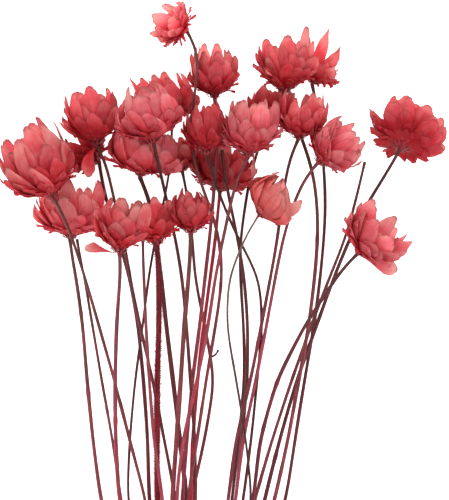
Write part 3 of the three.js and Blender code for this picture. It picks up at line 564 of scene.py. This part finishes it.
def petal_sheets(place, ring, random, head, count):
    """Fronts, backs and tints of a ring of petals. The line of a petal is a quadratic curve in a plane
    through the axis, from the seed cup out to the bend and on to the tip. The blade lies across it, with
    its corners cut back by a half circle at the tip, and may turn about it by a power of the height."""
    radius, length = head["radius"] * MM, head["length"] * MM
    along = (1 - (1 - np.linspace(0, 1, PETAL_ROWS)) ** ROW_CROWDING)[None, :, None]
    swings = np.sin(np.linspace(-1, 1, PETAL_COLUMNS) * COLUMN_SWING * np.pi)
    across = swings[None, None, :] / np.sin(COLUMN_SWING * np.pi)

    def each(name):
        return random.uniform(*PETAL_DRAWS[name], (count, 1, 1))

    opened = np.clip(head["opened"] + each("opened") + ring["stray"], *OPENED_LIMITS)
    reach = radius * ring["reach"] * each("reach")
    rise = length * ring["rise"] * each("rise")
    part = ring["part"] * each("part")
    point = np.clip(head["point"] + ring["sharp"] + each("point"), 0, 1)
    half = np.pi * radius * ring["width"] * head["width"] / head["count"] * each("width")

    tip_out = reach * value_at(TIP_OUT, opened)
    tip_up = rise * (value_at(TIP_UP, opened) - STRAY_DROP * ring["stray"])
    bend_out = reach * value_at(BEND_OUT, opened)
    bend_up = length * value_at(BEND_UP, opened)
    bend_out = bend_out + ring["straight"] * (STRAIGHT_OUT * tip_out - bend_out)
    bend_up = bend_up + ring["straight"] * (STRAIGHT_UP * tip_up - bend_up)
    circle = 1 - np.sqrt(1 - TIP_CIRCLE * across ** 2)
    rounding = TIP_ROUND * half / (part * np.hypot(tip_out, tip_up)) * circle
    run = part * along * (1 - (rounding + TIP_POINT * point * np.abs(across)) * along ** 5)
    out, slope_out = quadratic(run, FOOT_OUT * radius, bend_out, tip_out)
    up, slope_up = quadratic(run, FOOT_UP * length, bend_up, tip_up)
    slope = np.hypot(slope_out, slope_up)
    face_out, face_up = slope_up / slope, -slope_out / slope

    offset = petal_offsets(across, along, half, point)
    ring_curl = ring["curl"] * min(1, GLOBE_CURL + head["opened"])
    depth = petal_depths(across, along, offset, np.maximum(out, LEAST_HOLLOW * radius), ring_curl, each)
    skin = PETAL_SKIN * MM * (1 - TIP_THIN * along) * (1 - across ** 2) + RIM_SKIN * MM
    turn = 2 * np.pi * (np.arange(count)[:, None, None] / count + ring["phase"]) + each("turn")
    turn = turn + each("tip_turn") * along ** 2
    twist = ring["twist"] * along ** 0.6

    def placed(lift):
        wide = offset * np.cos(twist) - lift * np.sin(twist)
        lift = offset * np.sin(twist) + lift * np.cos(twist)
        far, high = out + face_out * lift, up + face_up * lift
        level = far * np.cos(turn) - wide * np.sin(turn) + ring["aside"] * (high / length) ** 2
        cross = far * np.sin(turn) + wide * np.cos(turn)
        return about_head(place, level, cross, high)

    tints = petal_tints(ring, random, head, count)
    return placed(depth + skin / 2), placed(depth - skin / 2), tints


def single_petal(place, random, head, row):
    """One petal from a row of SINGLE_PETALS, as a ring of one on a head whose radius and length bring the
    tip near its place."""
    turn, out, up, width, opened, point, twist = row
    reach = out / value_at(TIP_OUT, opened)
    # Single petals fade more often: partly faded dye, partly painted light for the shade they hang in.
    single = dict(
        head, faded=SINGLE_FADE_AND_PAINTED_LIGHT * head["faded"], radius=reach, length=up / value_at(TIP_UP, opened),
        opened=opened, point=point, count=1, width=width / (2 * np.pi * reach),
    )
    ring = dict(
        reach=1.0, rise=1.0, part=1.0, width=1.0, sharp=0.0, stray=0.0, aside=0.0,
        curl=SINGLE_CURL, straight=SINGLE_STRAIGHT, phase=turn / 360, twist=np.radians(twist),
    )
    return petal_sheets(place, ring, random, single, 1)


def head_petals(number, place):
    """All the petals of a head: its rings, of which the full ones near the outside have a few petals that
    stand away, and then its single petals."""
    head = dict(HEADS[number], number=number)
    random = np.random.default_rng(PETAL_SEED + number)
    made = []
    for level, shape in enumerate(PETAL_RINGS if head["opened"] > BUD_OPENED else BUD_RINGS):
        count = max(LEAST_PETALS, round(head["count"] * shape["share"]))
        stray = np.zeros((count, 1, 1))
        if shape["part"] > STRAY_PART and shape["reach"] > STRAY_REACH and head["loose"]:
            chosen = random.permutation(count)[:head["loose"]]
            stray[chosen] = random.uniform(*STRAY_AMOUNT)
        ring = dict(
            shape, stray=stray, twist=stray, straight=STRAIGHTER.get(number, 0.0),
            aside=TIPS_ASIDE.get(number, 0.0) * MM, phase=level * RING_TURN / count + HEAD_TURN * number,
        )
        made.append(petal_sheets(place, ring, random, head, count))
    for row in SINGLE_PETALS.get(number, ()):
        made.append(single_petal(place, random, head, row))
    fronts, backs, tints = zip(*made)
    return sheets(np.concatenate(fronts), np.concatenate(backs), np.concatenate(tints))


def bract_sheets(number, place, thick):
    """Small pointed bracts in two rows round the foot of a head. Each starts on the seed cup and is a
    parabola that runs out and bends up, and its width falls to a point."""
    head = HEADS[number]
    random = np.random.default_rng(BRACT_SEED + number)
    along = np.linspace(0, 1, BRACT_ROWS)[None, :, None]
    across = np.linspace(-1, 1, BRACT_COLUMNS)[None, None, :]

    def each(name):
        return random.uniform(*BRACT_DRAWS[name], (BRACTS, 1, 1))

    upper = (np.arange(BRACTS) % 2)[:, None, None]
    radius, length = head["radius"] * MM, head["length"] * MM
    size = each("size") * MM
    start = (thick + BRACT_CLEAR * MM) + upper * UPPER_OUT * radius
    bow = each("bow")
    out = start + size * (BRACT_OUT[0] * along + BRACT_OUT[1] * bow * along ** 2)
    rise = size * (BRACT_UP[0] * along + BRACT_UP[1] * bow * along ** 2)
    up = length * value_at(BRACT_HEIGHT, upper) + rise
    offset = across * BRACT_HALF * MM * (1 - along) ** 0.8 * each("width") + BRACT_TIP * MM * across
    turn = 2 * np.pi * np.arange(BRACTS)[:, None, None] / BRACTS + each("turn")
    skin = BRACT_SKIN * MM * (1 - across ** 2) * (1 - BRACT_THIN * along)

    def placed(lift):
        level = out * np.cos(turn) - offset * np.sin(turn)
        cross = out * np.sin(turn) + offset * np.cos(turn)
        return about_head(place, level, cross, up - lift)

    none = np.zeros(BRACTS)
    tint = np.stack((random.uniform(0, 1, BRACTS), none, none, np.ones(BRACTS)), axis=1)
    return sheets(placed(skin / 2), placed(-skin / 2), tint)


def turned(place, profile, sides, bumps=0.0):
    """A solid of revolution about a head's axis from rows of radius and height in millimetres. The radius
    swells by bumps times a sine round the axis times a sine up it."""
    foot, side, over, axis = place
    profile = np.asarray(profile) * MM
    angles = -2 * np.pi * np.arange(sides) / sides
    rows = np.arange(len(profile))[:, None]
    swell = 1 + bumps * np.sin(angles * sides / 3)[None] * np.sin(2.1 * rows + 1)
    radii = profile[:, :1] * swell
    spots = (radii * np.cos(angles))[..., None] * side + (radii * np.sin(angles))[..., None] * over
    return tube(above_floor(foot + spots + profile[:, 1][:, None, None] * axis, HEAD_EASE)[::-1])


def head_cup(number, place, thick):
    """The seed cup under the petals, from the stem out to the petals' feet, and the knob of florets
    between the petals. Both grow with the head, and the knob stands lower in an open one."""
    head = HEADS[number]
    radius, length = head["radius"], head["length"]
    rim = 0.2 * radius + 0.6
    cup = (
        (thick * 0.9, -0.5),
        (thick + 0.25, 0.2),
        (0.5 * (thick + rim), 0.05 * length),
        (rim, 0.1 * length),
        (rim * 1.1, 0.14 * length),
        (rim * 0.8, 0.19 * length),
    )
    top = length * (0.5 - 0.14 * head["opened"])
    knob = (
        (0.2 * radius, 0.12 * length),
        (0.27 * radius, 0.2 * length),
        (0.3 * radius, top * 0.75),
        (0.25 * radius, top * 0.92),
        (0.12 * radius, top),
    )
    return turned(place, cup, sides=12), turned(place, knob, sides=15, bumps=0.12)


# Finishes.

class Finish:
    """A material's node tree, with short calls that add a node and link its inputs."""

    def __init__(self, name):
        self.material = bpy.data.materials.new(name)
        self.material.use_nodes = True
        self.tree = self.material.node_tree
        self.tree.nodes.clear()

    def add(self, kind, inputs=None, **settings):
        """A node with settings, and inputs by name or number: each a plain value, or an output to link."""
        node = self.tree.nodes.new(kind)
        for name, value in settings.items():
            setattr(node, name, value)
        for key, value in (inputs or {}).items():
            if isinstance(value, bpy.types.NodeSocket):
                self.tree.links.new(value, node.inputs[key])
            else:
                node.inputs[key].default_value = value
        return node

    def own_place(self):
        """Across and along of the piece's own UV map, each from 0 to 1."""
        spot = self.add("ShaderNodeSeparateXYZ", {0: self.add("ShaderNodeUVMap", uv_map="UVMap").outputs[0]})
        return spot.outputs[0], spot.outputs[1]

    def own_tint(self):
        """The three numbers of the piece's tint."""
        tint = self.add("ShaderNodeAttribute", attribute_name="tint").outputs[0]
        return self.add("ShaderNodeSeparateColor", {0: tint}).outputs[:3]

    def room(self):
        """Object coordinates, in metres."""
        return self.add("ShaderNodeTexCoord").outputs["Object"]

    def vector(self, *numbers):
        """A vector from its numbers."""
        return self.add("ShaderNodeCombineXYZ", dict(enumerate(numbers))).outputs[0]

    def maths(self, operation, first, second=0.0):
        """One sum on two numbers."""
        return self.add("ShaderNodeMath", {0: first, 1: second}, operation=operation).outputs[0]

    def spread(self, value, low, high, to_low, to_high):
        """A number carried from the range low to high to another, smoothly, and held at its ends."""
        return self.add("ShaderNodeMapRange", {
            "Value": value, "From Min": low, "From Max": high, "To Min": to_low, "To Max": to_high,
        }, interpolation_type="SMOOTHSTEP").outputs[0]

    def ramp(self, value, stops):
        """A colour from a row of places and screen colours."""
        node = self.add("ShaderNodeValToRGB", {0: value})
        elements = node.color_ramp.elements
        while len(elements) < len(stops):
            elements.new(0.5)
        for element, (place, code) in zip(elements, stops):
            element.position = place
            element.color = linear(code)
        return node.outputs[0]

    def blend(self, share, first, second):
        """A mix of two colours."""
        return self.add("ShaderNodeMix", {0: share, 6: first, 7: second}, data_type="RGBA").outputs[2]

    def scaled(self, colour, value):
        """A colour times a number."""
        return self.add("ShaderNodeVectorMath", {0: colour, "Scale": value}, operation="SCALE").outputs[0]

    def noise(self, vector, scale, detail=3.0):
        """A noise value between 0 and 1."""
        return self.add("ShaderNodeTexNoise", {"Vector": vector, "Scale": scale, "Detail": detail}).outputs[0]

    def bump(self, height, strength, depth):
        """A surface direction that follows a height, with its depth in metres."""
        return self.add("ShaderNodeBump", {
            "Strength": strength, "Distance": depth, "Height": height,
        }).outputs[0]

    def body(self, colour, roughness, shine, bump):
        """A plain surface from its colour, roughness, shine and surface direction."""
        return self.add("ShaderNodeBsdfPrincipled", {
            "Base Color": colour, "Roughness": roughness, "Specular IOR Level": shine, "Normal": bump,
        }).outputs[0]

    def finish(self, shader):
        """Ends the tree with the surface."""
        self.add("ShaderNodeOutputMaterial", {"Surface": shader})
        return self.material


def petal_finish(name, palette):
    """Dyed papery petal: deep at its foot and paler to its tip, with fine veins along it and dark thin edges,
    some petals faded, the single ones partly as painted light, whole heads paler as painted light where other
    heads shade them, and part of the light going through."""
    foot, lower, upper, tip = palette
    f = Finish(name)
    across, along = f.own_place()
    tone, faded, layer = f.own_tint()

    cloud = f.noise(f.room(), 260.0, 2.0)
    reach = f.maths("MULTIPLY", along, f.spread(layer, 0.1, 0.5, 0.4, 1.0))
    reach = f.maths("ADD", reach, f.spread(cloud, 0.3, 0.7, -0.14, 0.14))
    fresh = f.ramp(reach, [(0.0, foot), (0.3, lower), (0.72, upper), (1.0, tip)])
    pale = f.ramp(reach, [(0.0, lower), (0.4, upper), (0.85, FADED_UPPER), (1.0, FADED_TIP)])
    colour = f.blend(faded, fresh, pale)

    side = f.maths("ABSOLUTE", f.maths("SUBTRACT", f.maths("MULTIPLY", across, 2.0), 1.0))
    rim = f.spread(f.maths("MAXIMUM", side, along), 0.84, 1.0, 0.0, 0.6)
    colour = f.blend(rim, colour, linear(PETAL_RIM))
    veins = f.noise(f.vector(
        f.maths("MULTIPLY", across, 9.0), f.maths("MULTIPLY", along, 1.1), f.maths("MULTIPLY", tone, 37.0),
    ), 2.4, 4.0)
    # Tone lightens a petal: how pale its dye is, at random, and on heads 7, 14 and 24 painted light for the
    # shade they lie in.
    light = f.maths("MULTIPLY", f.spread(veins, 0.3, 0.7, 0.88, 1.08), f.spread(tone, 0.0, 1.0, 0.84, 1.32))
    light = f.maths("MULTIPLY", light, f.spread(layer, 0.5, 0.85, 1.0, 1.12))
    colour = f.scaled(colour, light)
    bump = f.bump(veins, 0.35, 0.3 * MM)
    body = f.body(colour, 0.6, 0.2, bump)
    glow = f.add("ShaderNodeBsdfTranslucent", {
        "Color": f.add("ShaderNodeGamma", {0: colour, 1: 0.6}).outputs[0], "Normal": bump,
    }).outputs[0]
    return f.finish(f.add("ShaderNodeMixShader", {0: 0.55, 1: body, 2: glow}).outputs[0])


def bract_finish():
    """Small stiff bract: dark red at its foot, brown and dry at its tip."""
    f = Finish("bract")
    _, along = f.own_place()
    cloud = f.noise(f.room(), 900.0)
    reach = f.maths("ADD", along, f.spread(cloud, 0.3, 0.7, -0.2, 0.2))
    colour = f.ramp(reach, [(0.0, "7e1820"), (0.45, "a02c36"), (0.8, "8e3a3c"), (1.0, "6a2c2a")])
    return f.finish(f.body(colour, 0.6, 0.3, f.bump(cloud, 0.4, 0.2 * MM)))


def cup_finish():
    """Seed cup: dark red skin with fifteen fine ribs up its side and brown scurf."""
    f = Finish("seed_cup")
    around, _ = f.own_place()
    ribs = f.maths("SINE", f.maths("MULTIPLY", around, 94.2))
    level = f.maths("ADD", f.noise(f.room(), 700.0), f.maths("MULTIPLY", ribs, 0.12))
    colour = f.ramp(level, [(0.25, "4f1a1c"), (0.5, "7c1b25"), (0.75, "93303a")])
    return f.finish(f.body(colour, 0.7, 0.25, f.bump(level, 0.6, 0.3 * MM)))


def floret_finish():
    """Packed florets between the petals: grains of dry ochre and dark red, darkest where the grains meet,
    which is painted shade between the florets.
    """
    f = Finish("florets")
    grains = f.add("ShaderNodeTexVoronoi", {"Vector": f.room(), "Scale": 1500.0}).outputs["Distance"]
    # The dark end of this ramp, at the grains' edges, is painted shade between the florets.
    colour = f.ramp(grains, [(0.0, "b0563a"), (0.35, "8c2a28"), (0.8, "4c1417")])
    return f.finish(f.body(colour, 0.75, 0.2, f.bump(f.maths("SUBTRACT", 1.0, grains), 0.8, 0.4 * MM)))


def stem_finish(name, tones):
    """Dry stalk: its tone goes from the cut end to the head, with fine dark and light streaks along it,
    small specks, and each stem a little lighter or darker."""
    low, middle, high = tones
    f = Finish(name)
    around, along = f.own_place()
    own = f.own_tint()[0]
    place = f.room()
    reach = f.maths("ADD", along, f.spread(f.noise(place, 90.0), 0.3, 0.7, -0.1, 0.1))
    colour = f.ramp(reach, [(0.0, low), (0.35, low), (0.68, middle), (0.95, high)])
    angle = f.maths("MULTIPLY", around, 6.28319)
    streaks = f.noise(f.vector(
        f.maths("COSINE", angle), f.maths("SINE", angle), f.maths("MULTIPLY", along, 24.0),
    ), 2.6, 4.0)
    specks = f.noise(place, 1500.0, 2.0)
    light = f.spread(streaks, 0.3, 0.7, 0.7, 1.35)
    light = f.maths("MULTIPLY", light, f.spread(specks, 0.35, 0.7, 0.88, 1.12))
    light = f.maths("MULTIPLY", light, f.spread(own, 0.0, 1.0, 0.62, 1.5))
    return f.finish(f.body(f.scaled(colour, light), 0.55, 0.22, f.bump(streaks, 0.5, 0.2 * MM)))


def twine_finish():
    """Jute: straw yarn with darker fibres that follow the ply."""
    f = Finish("twine")
    around, along = f.own_place()
    lay = f.maths("ADD", f.maths("MULTIPLY", around, 14.0), f.maths("MULTIPLY", along, 420.0))
    fibres = f.noise(f.vector(lay, along), 1.3, 4.0)
    cloud = f.noise(f.room(), 500.0)
    level = f.maths("ADD", f.maths("MULTIPLY", fibres, 0.7), f.maths("MULTIPLY", cloud, 0.3))
    colour = f.ramp(level, [(0.3, "7f6540"), (0.5, "b59a6c"), (0.7, "d3bd92")])
    return f.finish(f.body(colour, 0.85, 0.2, f.bump(fibres, 0.6, 0.2 * MM)))


# Stems.

def stem_piece(node, number, slot, finish):
    """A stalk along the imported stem's rings. Its girth has five ribs that are a cosine round it, a slow
    wave that is a sine along it, four small knots that are bells, and a bell at the top where it flares."""
    line, length = stem_line(node, STALK_ROWS)
    line[0, 1] += CUT_BACK
    random = np.random.default_rng(STALK_SEED + number)
    along = np.linspace(0, 1, STALK_ROWS)
    knots = random.uniform(*KNOT_PLACES, STALK_KNOTS)
    knot_width = KNOT_REACH / length
    swell = sum(KNOT_SWELL * np.exp(-((along - knot) / knot_width) ** 2) for knot in knots)
    waves = WAVE_SWELL * np.sin(2 * np.pi * (random.uniform(*WAVE_COUNT) * along + random.uniform(0, 1)))
    flare = FLARE_SWELL * np.exp(-((1 - along) * length / FLARE_REACH) ** 2)
    angles = 2 * np.pi * np.arange(STALK_SIDES) / STALK_SIDES
    ribs = RIB_SWELL * np.cos(STALK_RIBS * angles[None] + RIB_TURN * along[:, None])
    girth = line[:, 3:] * STALK_GIRTH * (1 + (swell + waves + flare)[:, None] + ribs)
    points, faces, corners = tube(above_floor(sweep(line[:, :3], girth, UP), STEM_EASE))
    tint = np.tile((random.uniform(0, 1), 0, 0, 1), (len(points), 1))
    return make_piece(f"stalk_{node}", points, faces, corners, node, slot, [finish], tint=tint)


def stem_fur(node, finish):
    """Fine hairs on the red stem: thin three-sided spikes that start inside it and lean toward the head."""
    line, _ = stem_line(node, FUR_ROWS)
    random = np.random.default_rng(FUR_SEED)
    pick = random.integers(3, FUR_ROWS - 3, FUR_HAIRS)
    heading = unit(line[pick + 2, :3] - line[pick - 2, :3])
    side = unit(np.cross(heading, UP))
    over = np.cross(side, heading)
    angle = random.uniform(0, 2 * np.pi, FUR_HAIRS)[:, None]
    outward = side * np.cos(angle) + over * np.sin(angle)
    root = line[pick, :3] + outward * line[pick, 3:] * FUR_ROOT
    lean = unit(outward + heading * random.uniform(*FUR_LEAN, (FUR_HAIRS, 1)))
    tip = root + lean * random.uniform(*FUR_LENGTH, (FUR_HAIRS, 1)) * MM
    sidewise = np.cross(outward, heading) * FUR_HALF * MM
    lengthwise = heading * FUR_THICK * MM
    corners = np.stack((root - sidewise, root + sidewise, root + lengthwise, tip), axis=1)
    template = np.array(((0, 1, 2), (0, 3, 1), (1, 3, 2), (2, 3, 0)))
    faces = (template[None] + 4 * np.arange(FUR_HAIRS)[:, None, None]).reshape(-1, 3)
    first = corners[:, template[0]]
    normal = np.cross(first[:, 1] - first[:, 0], first[:, 2] - first[:, 0])
    inward = np.einsum("ij,ij->i", normal, tip - root) > 0
    faces = np.where(np.repeat(inward, 4)[:, None], faces[:, ::-1], faces)
    uv = np.zeros((len(faces), 3, 2))
    uv[:, :, 1] = FUR_TONE
    points = above_floor(corners.reshape(-1, 3), FUR_EASE)
    return make_piece("stem_fur", points, faces.tolist(), uv, node, "stem_red", [finish])


def twig_piece(node, finish):
    """A short broken side twig on the wavy stem: its path is a straight line bowed by a sine, and its
    radius tapers and ends in a nub that is a bell."""
    line, _ = stem_line(node, TWIG_LINE)
    along = np.linspace(0, 1, TWIG_ROWS)[:, None]
    path = line[TWIG_START, :3] + MM * (along * TWIG_REACH + np.sin(np.pi * along) * TWIG_BOW)
    nub = TWIG_NUB * np.exp(-((along - NUB_PLACE) / NUB_WIDTH) ** 2)
    girth = MM * (TWIG_RADIUS - TWIG_TAPER * along + nub) * np.ones((1, TWIG_SIDES))
    return make_piece("side_twig", *tube(sweep(path, girth, UP)), node, "stem_brown", [finish])


# Twine.

def two_ply(path, closeness):
    """Rings of twine along a path: its radius has a cosine with two crests, one for each ply, which turn
    round it with the length. Closeness is a share of the usual radius."""
    steps = np.concatenate(([0], np.cumsum(np.linalg.norm(np.diff(path, axis=0), axis=1))))
    angles = 2 * np.pi * np.arange(TWINE_SIDES) / TWINE_SIDES
    waves = 1 + PLY_SWELL * np.cos(2 * angles[None] + (steps / PLY_REACH)[:, None])
    return sweep(path, TWINE_FILL * closeness * TWINE_ROOM * waves, TWINE_GUIDE)


def wound_path(points, middle, angles, reaches):
    """Path of the turns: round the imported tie's outline, just inside it, eased by a running mean, and one
    pitch along Y a turn."""
    low, high = points[:, 1].min(), points[:, 1].max()
    share = np.linspace(0, 1, TWINE_TURNS * TWINE_ROWS)
    winding = np.pi / 2 + 2 * np.pi * TWINE_TURNS * share
    wrapped = (winding + np.pi) % (2 * np.pi) - np.pi
    out = np.interp(wrapped, angles, reaches, period=2 * np.pi) - TWINE_ROOM
    padded = np.pad(out, MEAN_ROWS // 2, mode="edge")
    out = np.convolve(padded, np.ones(MEAN_ROWS) / MEAN_ROWS, mode="valid")
    return np.stack((
        middle[0] + out * np.cos(winding),
        low + TWINE_ROOM + (high - low - 2 * TWINE_ROOM) * share,
        middle[2] + out * np.sin(winding),
    ), axis=1)


def knot_path(top):
    """Path of the knot: an ellipse gone round twice, whose width swells as a cosine and whose height
    waves as a sine."""
    loop = 2 * np.pi * np.linspace(0, 1, LOOP_ROWS)[:, None] * LOOPS
    return top + MM * np.concatenate((
        LOOP_WIDE * np.cos(loop) * (1 + LOOP_FLARE * np.cos(LOOP_WAVES * loop)),
        LOOP_LONG * np.sin(loop),
        LOOP_HIGH * np.sin(LOOP_WAVES * loop) - LOOP_DROP,
    ), axis=1)


def tail_path(top, sign):
    """Path of a tail, to the left at a sign of -1 and to the right at 1: a parabola out, along and down."""
    along = np.linspace(0, 1, LOOP_ROWS)[:, None]
    return top + MM * ((TAIL_START + along * TAIL_RUN + along ** 2 * TAIL_BEND) * (sign, 1, 1))


def twine_turns(finish):
    """Twine wound round the stems, with a knot and two short tails on top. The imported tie's outline is how
    far its points reach from its middle, seen along Y, at each angle."""
    points = points_of("tie")
    middle = (points.min(axis=0) + points.max(axis=0)) / 2
    spread = points[:, [0, 2]] - middle[[0, 2]]
    angle, reach = np.arctan2(spread[:, 1], spread[:, 0]), np.hypot(spread[:, 0], spread[:, 1])
    angles = np.unique(angle.round(2))
    reaches = np.array([reach[np.abs(angle - place) < 0.02].max() for place in angles])
    top = middle + (0, 0, reaches.max() - KNOT_SINK)
    turns = two_ply(wound_path(points, middle, angles, reaches), 1.0)
    parts = [
        tube(above_floor(turns, TWINE_EASE)),
        tube(two_ply(knot_path(top), LOOP_CLOSE)),
        tube(two_ply(tail_path(top, -1), TAIL_CLOSE)),
        tube(two_ply(tail_path(top, 1), TAIL_CLOSE)),
    ]
    return make_piece("twine_turns", *join(parts)[:3], "tie", "twine", [finish])


# The object.

def dress_head(number, slot, petal, bract, cup_skin, floret):
    """Petals, bracts, and seed cup with florets, in place of a packed head."""
    node = f"bloom_{number:02d}"
    place = head_frame(number)
    thick = rings_of(f"stem_{number:02d}")[1][-1]
    points, faces, corners, tint = head_petals(number, place)
    make_piece(f"petals_{number:02d}", points, faces.tolist(), corners, node, slot, [petal], tint=tint)
    points, faces, corners, tint = bract_sheets(number, place, thick)
    make_piece(f"bracts_{number:02d}", points, faces.tolist(), corners, node, slot, [bract], tint=tint)
    points, faces, corners, numbers = join(head_cup(number, place, thick / MM))
    make_piece(f"seed_cup_{number:02d}", points, faces, corners, node, slot, [cup_skin, floret], numbers)


slots = {part["node"]: part["material_slot"] for part in frame["record"]["subparts"]}
petal_finishes = {slot: petal_finish(slot, palette) for slot, palette in PALETTES.items()}
stem_finishes = {slot: stem_finish(slot, tones) for slot, tones in STEM_TONES.items()}
bract, cup_skin, floret = bract_finish(), cup_finish(), floret_finish()

for number in HEADS:
    slot = slots[f"bloom_{number:02d}"]
    dress_head(number, slot, petal_finishes[slot], bract, cup_skin, floret)
for number, node in enumerate(sorted(name for name in frame["nodes"] if "stem" in name)):
    stem_piece(node, number, slots[node], stem_finishes[slots[node]])
stem_fur(f"stem_{RED_STEM}", stem_finishes["stem_red"])
twig_piece(f"stem_{TWIG_STEM}", stem_finishes["stem_brown"])
twine_turns(twine_finish())


# Floor, light and camera.

def floor_piece():
    """A wide plain floor at height zero, almost white and faintly clouded."""
    f = Finish("floor")
    tone = f.spread(f.noise(f.room(), 40.0, 2.0), 0.3, 0.7, 0.93, 0.95)
    colour = f.add("ShaderNodeCombineColor", {0: tone, 1: tone, 2: tone}).outputs[0]
    surface = f.finish(f.add("ShaderNodeBsdfPrincipled", {
        "Base Color": colour, "Roughness": 0.9, "Specular IOR Level": 0.1,
        "Emission Color": (1, 1, 1, 1), "Emission Strength": FLOOR_GLOW,
    }).outputs[0])
    mesh = bpy.data.meshes.new("floor")
    corners = [(x * FLOOR_HALF, y * FLOOR_HALF, 0) for x, y in ((-1, -1), (1, -1), (1, 1), (-1, 1))]
    mesh.from_pydata(corners, [], [(0, 1, 2, 3)])
    mesh.materials.append(surface)
    floor = bpy.data.objects.new("floor", mesh)
    bpy.context.scene.collection.objects.link(floor)


def area_light(name, place, size, watts):
    """A square soft light that faces the bunch."""
    lamp = bpy.data.lights.new(name, "AREA")
    lamp.shape = "SQUARE"
    lamp.size = size
    lamp.energy = watts
    holder = bpy.data.objects.new(name, lamp)
    holder.location = place
    holder.rotation_euler = (Vector(LIT_POINT) - Vector(place)).to_track_quat("-Z", "Y").to_euler()
    bpy.context.scene.collection.objects.link(holder)


def surroundings():
    """Even white light from all round."""
    world = bpy.data.worlds.new("studio")
    world.use_nodes = True
    background = world.node_tree.nodes["Background"]
    background.inputs["Color"].default_value = (1, 1, 1, 1)
    background.inputs["Strength"].default_value = 1.0
    bpy.context.scene.world = world
    bpy.context.scene.view_settings.view_transform = "Standard"


def camera():
    """The photograph's view: straight down, with the heads at the top. Its picture is 166.7 mm high at
    the middle of the bunch's thickness."""
    lens = bpy.data.cameras.new("view")
    lens.type = "PERSP"
    lens.lens = VIEW_LENS
    lens.sensor_width = VIEW_SENSOR
    lens.clip_end = 20
    holder = bpy.data.objects.new("view", lens)
    holder.location = VIEW_PLACE
    bpy.context.scene.collection.objects.link(holder)
    bpy.context.scene.camera = holder


floor_piece()
area_light("key", **KEY_LIGHT)
area_light("fill", **FILL_LIGHT)
surroundings()
camera()
